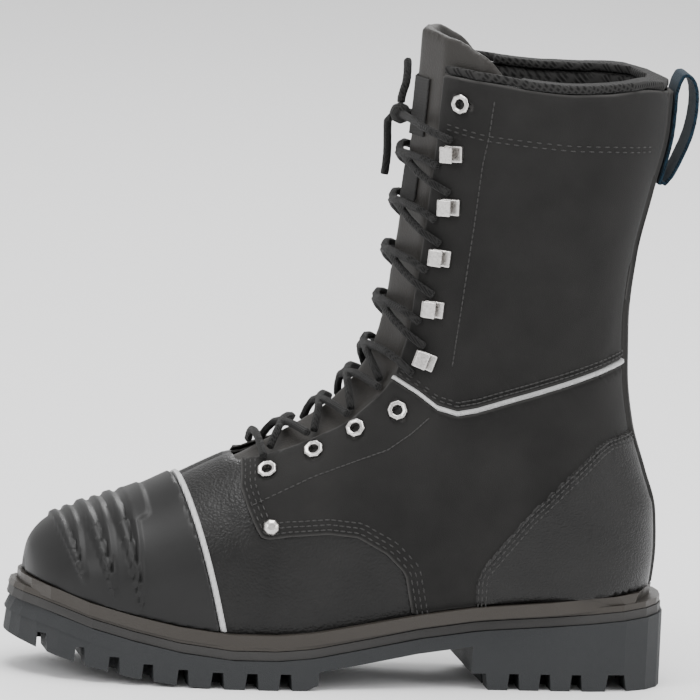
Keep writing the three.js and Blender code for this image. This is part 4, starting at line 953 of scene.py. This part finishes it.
def cap_outline():
    """Down the inner rear edge, round the toe above the welt, and up the outer rear edge."""
    inner = cap_line(0, 1)
    outer = cap_line(0, -1)
    foot_x = side_point(inner[-1, 0], np.cos(inner[-1, 1] / 2) ** 2)[0]
    inner_foot = welt_line(share_along(foot_x), TOE_TIP, 1, PANEL_FLOOR)
    outer_foot = welt_line(TOE_TIP, share_along(foot_x), -1, PANEL_FLOOR)
    return np.vstack([inner, inner_foot, outer_foot, outer[::-1]])


def claw_ridges(base):
    """How far the cap's ridges and its plate stand out, tapering to their tips."""
    x, z = base[:, 0], base[:, 2]
    flat = base[:, [0, 2]]
    plate = np.array([(along(x_share), z_share * COLLAR_HEIGHT) for x_share, z_share in PLATE_OUTLINE])
    depth_in = np.linalg.norm(flat - nearest_on(flat, plate), axis=1)
    rise = np.where(inside(flat, plate), PLATE_RISE * smooth(0, PLATE_FLANK, depth_in), 0.0)
    for (top_x, top_z), (tip_x, tip_z) in RIDGES:
        low, high = tip_z * COLLAR_HEIGHT, top_z * COLLAR_HEIGHT
        climb = np.clip((z - low) / (high - low), 0, 1)
        centre = along(tip_x) + (along(top_x) - along(tip_x)) * climb
        fade = smooth(low + RIDGE_FADE[0], low + RIDGE_FADE[1], z)
        for behind, wide, share in RIDGE_ROWS:
            half = wide * (RIDGE_TIP + (1 - RIDGE_TIP) * climb)
            ridge = smooth(0, RIDGE_FLANK, 1 - np.abs(x - centre - behind * climb) / half)
            rise = np.maximum(rise, RIDGE_RISE * share * ridge * fade)
    return rise


cap_rubber = leather(
    "cap_rubber", dark=0.009, light=0.014, rim=0.03, warm=0.0,
    rough=0.44, pebble=1800, pore=4200, share=0.15, bump=0.12, coat=0.04, shine=0.22,
)
toe_cap = cut_panel(
    "toe_cap", cap_outline(), SEAM_GAP, CAP_TOP, [cap_rubber, nubuck_back],
    spacing=1.2, edge=1.4, relief=claw_ridges,
)
fitted(toe_cap, "cap_rubber", "toe_cap")

# Strip behind the toe cap: the same light tape as the piping, caught under the cap's edge.
# It runs over the foot from welt to welt.
def strip_outline():
    """Up the front edge from the outer welt, over the crest and down, then back along the rear edge."""
    front = cap_line(SEAM_GAP, 1)
    rear = cap_line(SEAM_GAP + STRIP_WIDTH, 1)
    front_outer = cap_line(SEAM_GAP, -1)
    rear_outer = cap_line(SEAM_GAP + STRIP_WIDTH, -1)
    return np.vstack([front_outer[::-1], front, rear[::-1], rear_outer])


strip = cut_panel(
    "toe_cap_strip", strip_outline(), SEAM_GAP, PANEL_TOP, [light_tape], spacing=0.7, edge=0.6,
)
fitted(strip, "reflective_trim", "toe_cap_strip")


# Tongue, collar lining, collar binding and insole: soft leather, mesh cloth and ribbed knit.
# Each keeps its CAD place: a copy's facets are melted into one skin and smoothed.
def softened(node, slot, voxel, rounds, material):
    """A soft skin from a copy of a CAD node, with a voxel size in millimetres."""
    mesh = bpy.data.objects[node].data.copy()
    mesh.materials.clear()
    piece = bpy.data.objects.new(f"{node}_soft", mesh)
    bpy.context.collection.objects.link(piece)
    melt = piece.modifiers.new("melt", "REMESH")
    melt.mode = "VOXEL"
    melt.voxel_size = voxel / 1000
    relax = piece.modifiers.new("relax", "SMOOTH")
    relax.factor = 0.5
    relax.iterations = rounds
    ready = piece.evaluated_get(bpy.context.evaluated_depsgraph_get())
    piece.data = bpy.data.meshes.new_from_object(ready)
    piece.modifiers.clear()
    piece.data.materials.clear()
    piece.data.materials.append(material)
    piece.data.shade_smooth()
    return fitted(piece, slot, node)


THREAD_LEANS = (0.8, -0.8)
THREAD_TILT = 0.4


def weave_group():
    """Two crossing sets of fine threads, as a height: 1 on a thread, 0 in the hollows."""
    group = bpy.data.node_groups.new("crossed_threads", "ShaderNodeTree")
    group.interface.new_socket("Threads", in_out="INPUT", socket_type="NodeSocketFloat")
    group.interface.new_socket("Height", in_out="OUTPUT", socket_type="NodeSocketFloat")
    nodes, links = group.nodes, group.links
    start, end = nodes.new("NodeGroupInput"), nodes.new("NodeGroupOutput")
    place = nodes.new("ShaderNodeTexCoord")
    over = nodes.new("ShaderNodeMath")
    over.operation = "MAXIMUM"
    for socket, lean in enumerate(THREAD_LEANS):
        turn = nodes.new("ShaderNodeMapping")
        turn.inputs["Rotation"].default_value = (THREAD_TILT * lean, lean, lean)
        wave = nodes.new("ShaderNodeTexWave")
        wave.inputs["Distortion"].default_value = 0.4
        links.new(start.outputs["Threads"], wave.inputs["Scale"])
        links.new(place.outputs["Object"], turn.inputs["Vector"])
        links.new(turn.outputs["Vector"], wave.inputs["Vector"])
        links.new(wave.outputs["Fac"], over.inputs[socket])
    links.new(over.outputs["Value"], end.inputs["Height"])
    return group


THREAD_RELIEF = 0.0005
crossed_threads = weave_group()


def weave(name, dark, light, threads, rough, bump, warm=0.02):
    """Woven or braided cloth and cord, with painted shade: darker in the hollows between the threads."""
    material = bpy.data.materials.new(name)
    material.use_nodes = True
    nodes, links = material.node_tree.nodes, material.node_tree.links
    skin = nodes["Principled BSDF"]
    cloth = nodes.new("ShaderNodeGroup")
    cloth.node_tree = crossed_threads
    cloth.inputs["Threads"].default_value = threads
    # Painted shade: the ramp darkens the hollows between the threads and lightens the tops of the threads.
    tones = [(0.25, grey(dark, warm)), (0.95, grey(light, warm))]
    links.new(ramp(nodes, links, cloth.outputs["Height"], tones), skin.inputs["Base Color"])
    relief = nodes.new("ShaderNodeBump")
    relief.inputs["Strength"].default_value = bump
    relief.inputs["Distance"].default_value = THREAD_RELIEF
    links.new(cloth.outputs["Height"], relief.inputs["Height"])
    links.new(relief.outputs["Normal"], skin.inputs["Normal"])
    skin.inputs["Roughness"].default_value = rough
    skin.inputs["Specular IOR Level"].default_value = 0.15
    skin.inputs["Sheen Weight"].default_value = 0.06
    return material


tongue_leather = plain_skin(
    "tongue_leather", tone=0.02, warm=0.1,
    rough=0.50, pebble=900, pore=2600, share=0.5, bump=0.4, coat=0.03,
)
mesh_cloth = weave("mesh_cloth", dark=0.004, light=0.020, threads=160, rough=0.85, bump=0.8)
knit_rib = weave("knit_rib", dark=0.006, light=0.024, threads=190, rough=0.9, bump=0.7)
tongue = softened("tongue", "nubuck_leather", voxel=1.7, rounds=12, material=tongue_leather)
lining = softened("collar_lining", "lining_fabric", voxel=1.9, rounds=10, material=mesh_cloth)
softened("collar_binding", "lining_fabric", voxel=0.8, rounds=10, material=knit_rib)
softened("insole", "lining_fabric", voxel=1.8, rounds=6, material=mesh_cloth)

# Pull loop and tongue patches: narrow blue-black webbing sewn on at the back of the collar,
# and two bare woven patches on the tongue.
loop_webbing = weave("loop_webbing", dark=0.004, light=0.020, threads=260, rough=0.75, bump=0.6, warm=-0.8)
patch_weave = weave("patch_weave", dark=0.012, light=0.026, threads=420, rough=0.8, bump=0.3)
softened("pull_loop", "loop_webbing", voxel=0.5, rounds=6, material=loop_webbing)
for patch in ("tongue_patch_upper", "tongue_patch_lower"):
    softened(patch, "patch_fabric", voxel=0.28, rounds=3, material=patch_weave)

# Lace: one braided cord through the eyelets and round the hooks, with a small knot at the top.
# Its crossings and its two short ends are rounded from the CAD cord.
CROSSINGS = 8
LACE_ENDS = 2
lace_braid = weave("lace_braid", dark=0.002, light=0.014, threads=330, rough=0.7, bump=0.9)
lace_pieces = ["lace_bar"]
lace_pieces += [f"lace_crossing_{number}" for number in range(1, CROSSINGS + 1)]
lace_pieces += ["lace_knot"]
lace_pieces += [f"lace_end_{number}" for number in range(1, LACE_ENDS + 1)]
for cord_piece in lace_pieces:
    softened(cord_piece, "lace_cord", voxel=0.5, rounds=8, material=lace_braid)

# Stitches: rows of short rounded threads, each turned along its seam and laid on the leather.
# Rows lie inside the edges of the quarters and counters, above the piping, and on lines of their own.
STITCH_PITCH = 3.4
STITCH_LENGTH = 2.7
STITCH_THICK = 0.75
QUARTER_INSETS = (2.4, 4.8, 7.2)
COUNTER_INSETS = (1.6, 3.4, 5.4)
SHAFT_RISES = (3.6, 5.5)
EYESTAY_LINE = ((-165, 87.5), (-136.9, 101.5), (-102.2, 115.7), (-91.1, 123.7), (-83.7, 130.6))
SHAFT_LINE = ((-59.5, 285), (-61, 268.9), (-63.1, 255.1), (-65.4, 225.9), (-68.7, 193.4), (-72.5, 158))
COLLAR_BAND = (
    (-78, 272.8), (-72.2, 271.4), (-62, 269.4), (-39.6, 267.2), (-21.2, 265.8), (-2.7, 265.4), (18, 264.1),
)
BAND_DROP = 2.4
THREAD_SIDES = 8
THREAD_RINGS = 6
LEAST_AREA = 1e-6


def moved_in(line, distance):
    """A line on the form moved sideways over the leather, to its left as seen from outside."""
    u, turn = line[:, 0], line[:, 1]
    by_rib = bare_form(u + SMALL_TURN, turn) - bare_form(u - SMALL_TURN, turn)
    by_turn = bare_form(u, turn + SMALL_TURN) - bare_form(u, turn - SMALL_TURN)
    by_rib, by_turn = by_rib / (2 * SMALL_TURN), by_turn / (2 * SMALL_TURN)
    left = np.cross(form_normal(u, turn), np.gradient(bare_form(u, turn), axis=0))
    left = left / np.maximum(np.linalg.norm(left, axis=1, keepdims=True), TINY) * distance
    a, b, c = (by_rib * by_rib).sum(1), (by_rib * by_turn).sum(1), (by_turn * by_turn).sum(1)
    p, q = (by_rib * left).sum(1), (by_turn * left).sum(1)
    det = np.maximum(a * c - b * b, LEAST_AREA)
    return np.stack([u + (c * p - b * q) / det, turn + (a * q - b * p) / det], -1)


def thread_nodes():
    """A tree that lays one thread on each point, turned by the point's own angles."""
    group = bpy.data.node_groups.new("thread_rows", "GeometryNodeTree")
    interface = group.interface
    interface.new_socket("Points", in_out="INPUT", socket_type="NodeSocketGeometry")
    sockets = {}
    for name, kind in (("Length", "Float"), ("Thickness", "Float"), ("Thread", "Material")):
        socket = interface.new_socket(name, in_out="INPUT", socket_type=f"NodeSocket{kind}")
        sockets[name] = socket.identifier
    interface.new_socket("Threads", in_out="OUTPUT", socket_type="NodeSocketGeometry")
    nodes, links = group.nodes, group.links
    start, end = nodes.new("NodeGroupInput"), nodes.new("NodeGroupOutput")
    ball = nodes.new("GeometryNodeMeshUVSphere")
    ball.inputs["Segments"].default_value = THREAD_SIDES
    ball.inputs["Rings"].default_value = THREAD_RINGS
    ball.inputs["Radius"].default_value = 0.5
    size = nodes.new("ShaderNodeCombineXYZ")
    links.new(start.outputs["Length"], size.inputs["X"])
    links.new(start.outputs["Thickness"], size.inputs["Y"])
    links.new(start.outputs["Thickness"], size.inputs["Z"])
    turned = nodes.new("GeometryNodeInputNamedAttribute")
    turned.data_type = "FLOAT_VECTOR"
    turned.inputs["Name"].default_value = "turned"
    spin = nodes.new("FunctionNodeEulerToRotation")
    links.new(turned.outputs["Attribute"], spin.inputs["Euler"])
    laid = nodes.new("GeometryNodeInstanceOnPoints")
    links.new(start.outputs["Points"], laid.inputs["Points"])
    links.new(ball.outputs["Mesh"], laid.inputs["Instance"])
    links.new(spin.outputs["Rotation"], laid.inputs["Rotation"])
    links.new(size.outputs["Vector"], laid.inputs["Scale"])
    real = nodes.new("GeometryNodeRealizeInstances")
    paint = nodes.new("GeometryNodeSetMaterial")
    links.new(laid.outputs["Instances"], real.inputs["Geometry"])
    links.new(real.outputs["Geometry"], paint.inputs["Geometry"])
    links.new(start.outputs["Thread"], paint.inputs["Material"])
    links.new(paint.outputs["Geometry"], end.inputs["Threads"])
    return group, sockets


thread_rows, thread_sockets = thread_nodes()
seam_thread = weave("seam_thread", dark=0.020, light=0.050, threads=700, rough=0.55, bump=0.5)


def sewn(name, lines, level, slot):
    """Rows of stitches along lines of ribs and turns, at a level above the form."""
    places, angles = [], []
    for line in lines:
        line = off_sheet(spaced(on_sheet(line), STITCH_PITCH))
        seat = form(line[:, 0], line[:, 1], level)
        out = form_normal(line[:, 0], line[:, 1])
        run = np.gradient(seat, axis=0)
        for point, ahead, up in zip(seat, run, out):
            ahead, up = Vector(ahead).normalized(), Vector(up)
            across = up.cross(ahead).normalized()
            angles.append(Matrix((ahead, across, ahead.cross(across))).transposed().to_euler()[:])
            places.append(point / 1000)
    mesh = bpy.data.meshes.new(name)
    mesh.from_pydata([tuple(p) for p in places], [], [])
    mesh.attributes.new("turned", "FLOAT_VECTOR", "POINT").data.foreach_set("vector", np.ravel(angles))
    piece = bpy.data.objects.new(name, mesh)
    bpy.context.collection.objects.link(piece)
    rows = piece.modifiers.new("rows", "NODES")
    rows.node_group = thread_rows
    rows[thread_sockets["Length"]] = STITCH_LENGTH / 1000
    rows[thread_sockets["Thickness"]] = STITCH_THICK / 1000
    rows[thread_sockets["Thread"]] = seam_thread
    ready = piece.evaluated_get(bpy.context.evaluated_depsgraph_get())
    piece.data = bpy.data.meshes.new_from_object(ready)
    piece.modifiers.clear()
    piece.data.shade_smooth()
    return fitted(piece, slot)


def clear_of(line, gap):
    """The part of a line above the welt's bead, and off the throat and the backstay by a gap."""
    u, turn = line[:, 0], np.abs(line[:, 1])
    x, z = side_point(u, np.cos(turn / 2) ** 2)
    front = np.where(u > THROAT_START, turn_for_width(u, BALL_WIDTH * throat_share(u) + gap), 0)
    rear = np.where(u > SHAFT_RIB, turn_for_back(u, BACKSTAY_HALF + gap), math.pi)
    return line[(z > welt_top(x) + PANEL_FLOOR) & (turn > front) & (turn < rear)]


def drawn_line(points, side, drop=0.0):
    """A line drawn in the side view in millimetres, lowered, on one side of the form."""
    x, z = spaced(points, OUTLINE_STEP).T
    u, turn = rib_at(x, z - drop)
    return np.stack([u, side * turn], -1)


for name, side in SIDES:
    quarter_rows = []
    for inset in QUARTER_INSETS:
        row = moved_in(side_line(QUARTER_FRONT, side), -side * inset)
        quarter_rows.append(clear_of(row, gap=2))
    quarter_rows.append(clear_of(drawn_line(EYESTAY_LINE, side), gap=1))
    counter_rows = []
    for inset in COUNTER_INSETS:
        row = moved_in(side_line(COUNTER_EDGE, side), side * inset)
        counter_rows.append(clear_of(row, gap=1))
    shaft_rows = []
    for rise in SHAFT_RISES:
        row = side_line(SHAFT_SEAM, side, dz=rise)
        shaft_rows.append(clear_of(row, gap=2))
    shaft_rows.append(clear_of(drawn_line(SHAFT_LINE, side), gap=1.5))
    for drop in (0, BAND_DROP):
        shaft_rows.append(clear_of(drawn_line(COLLAR_BAND, side, drop), gap=1.5))
    sewn(f"quarter_stitches_{name}", quarter_rows, PANEL_TOP, "nubuck_leather")
    sewn(f"counter_stitches_{name}", counter_rows, COUNTER_TOP, "grained_leather")
    sewn(f"shaft_stitches_{name}", shaft_rows, PANEL_TOP, "nubuck_leather")


# Sole: a brown-black welt, a lighter midsole line and a grainy outsole with its lugs, all rubber.
# Their CAD shapes stay, in better materials.
def dressed(node, material):
    """Puts one material on all the slots of a CAD node that stays visible."""
    for seat in bpy.data.objects[node].material_slots:
        seat.material = material


tread_rubber = plain_skin(
    "tread_rubber", tone=0.03, warm=-0.05, rough=0.64, pebble=1700, pore=4200, share=0.4, bump=0.6, shine=0.2,
)
middle_rubber = plain_skin(
    "middle_rubber", tone=0.03, rough=0.58, pebble=1500, pore=4000, share=0.2, bump=0.3,
)
welt_rubber = plain_skin(
    "welt_rubber", tone=0.03, warm=0.15,
    rough=0.48, pebble=1200, pore=3600, share=0.3, bump=0.3, coat=0.08,
)
dressed("outsole", tread_rubber)
dressed("midsole", middle_rubber)
dressed("welt", welt_rubber)


# Hardware: nickel eyelets, hooks and rivets, lightly brushed and worn.
# Each is rounded from its CAD shape, and set through the leather.
METAL_VOXEL = 0.3
METAL_ROUNDS = 5
HOOKS_A_SIDE = 5


def nickel():
    """Worn nickel: patches of a duller and a brighter tone, with fine scuffs."""
    material = bpy.data.materials.new("nickel")
    material.use_nodes = True
    nodes, links = material.node_tree.nodes, material.node_tree.links
    skin = nodes["Principled BSDF"]
    place = nodes.new("ShaderNodeTexCoord")
    rub = nodes.new("ShaderNodeTexNoise")
    rub.inputs["Scale"].default_value = 900
    rub.inputs["Detail"].default_value = 4
    links.new(place.outputs["Object"], rub.inputs["Vector"])
    gloss = nodes.new("ShaderNodeMapRange")
    gloss.inputs["To Min"].default_value = 0.18
    gloss.inputs["To Max"].default_value = 0.42
    links.new(rub.outputs["Fac"], gloss.inputs["Value"])
    links.new(gloss.outputs["Result"], skin.inputs["Roughness"])
    tones = [(0.3, grey(0.50, 0.03)), (0.7, grey(0.68, 0.03))]
    links.new(ramp(nodes, links, rub.outputs["Fac"], tones), skin.inputs["Base Color"])
    relief = nodes.new("ShaderNodeBump")
    relief.inputs["Strength"].default_value = 0.12
    relief.inputs["Distance"].default_value = 0.0002
    links.new(rub.outputs["Fac"], relief.inputs["Height"])
    links.new(relief.outputs["Normal"], skin.inputs["Normal"])
    skin.inputs["Metallic"].default_value = 1
    return material


bright_nickel = nickel()
for name, side in SIDES:
    metal_pieces = [f"rivet_{name}"]
    for number in range(1, HOOKS_A_SIDE + 1):
        metal_pieces += [f"eyelet_{name}_{number}", f"hook_{name}_{number}"]
    for metal_piece in metal_pieces:
        softened(metal_piece, "nickel", METAL_VOXEL, METAL_ROUNDS, bright_nickel)
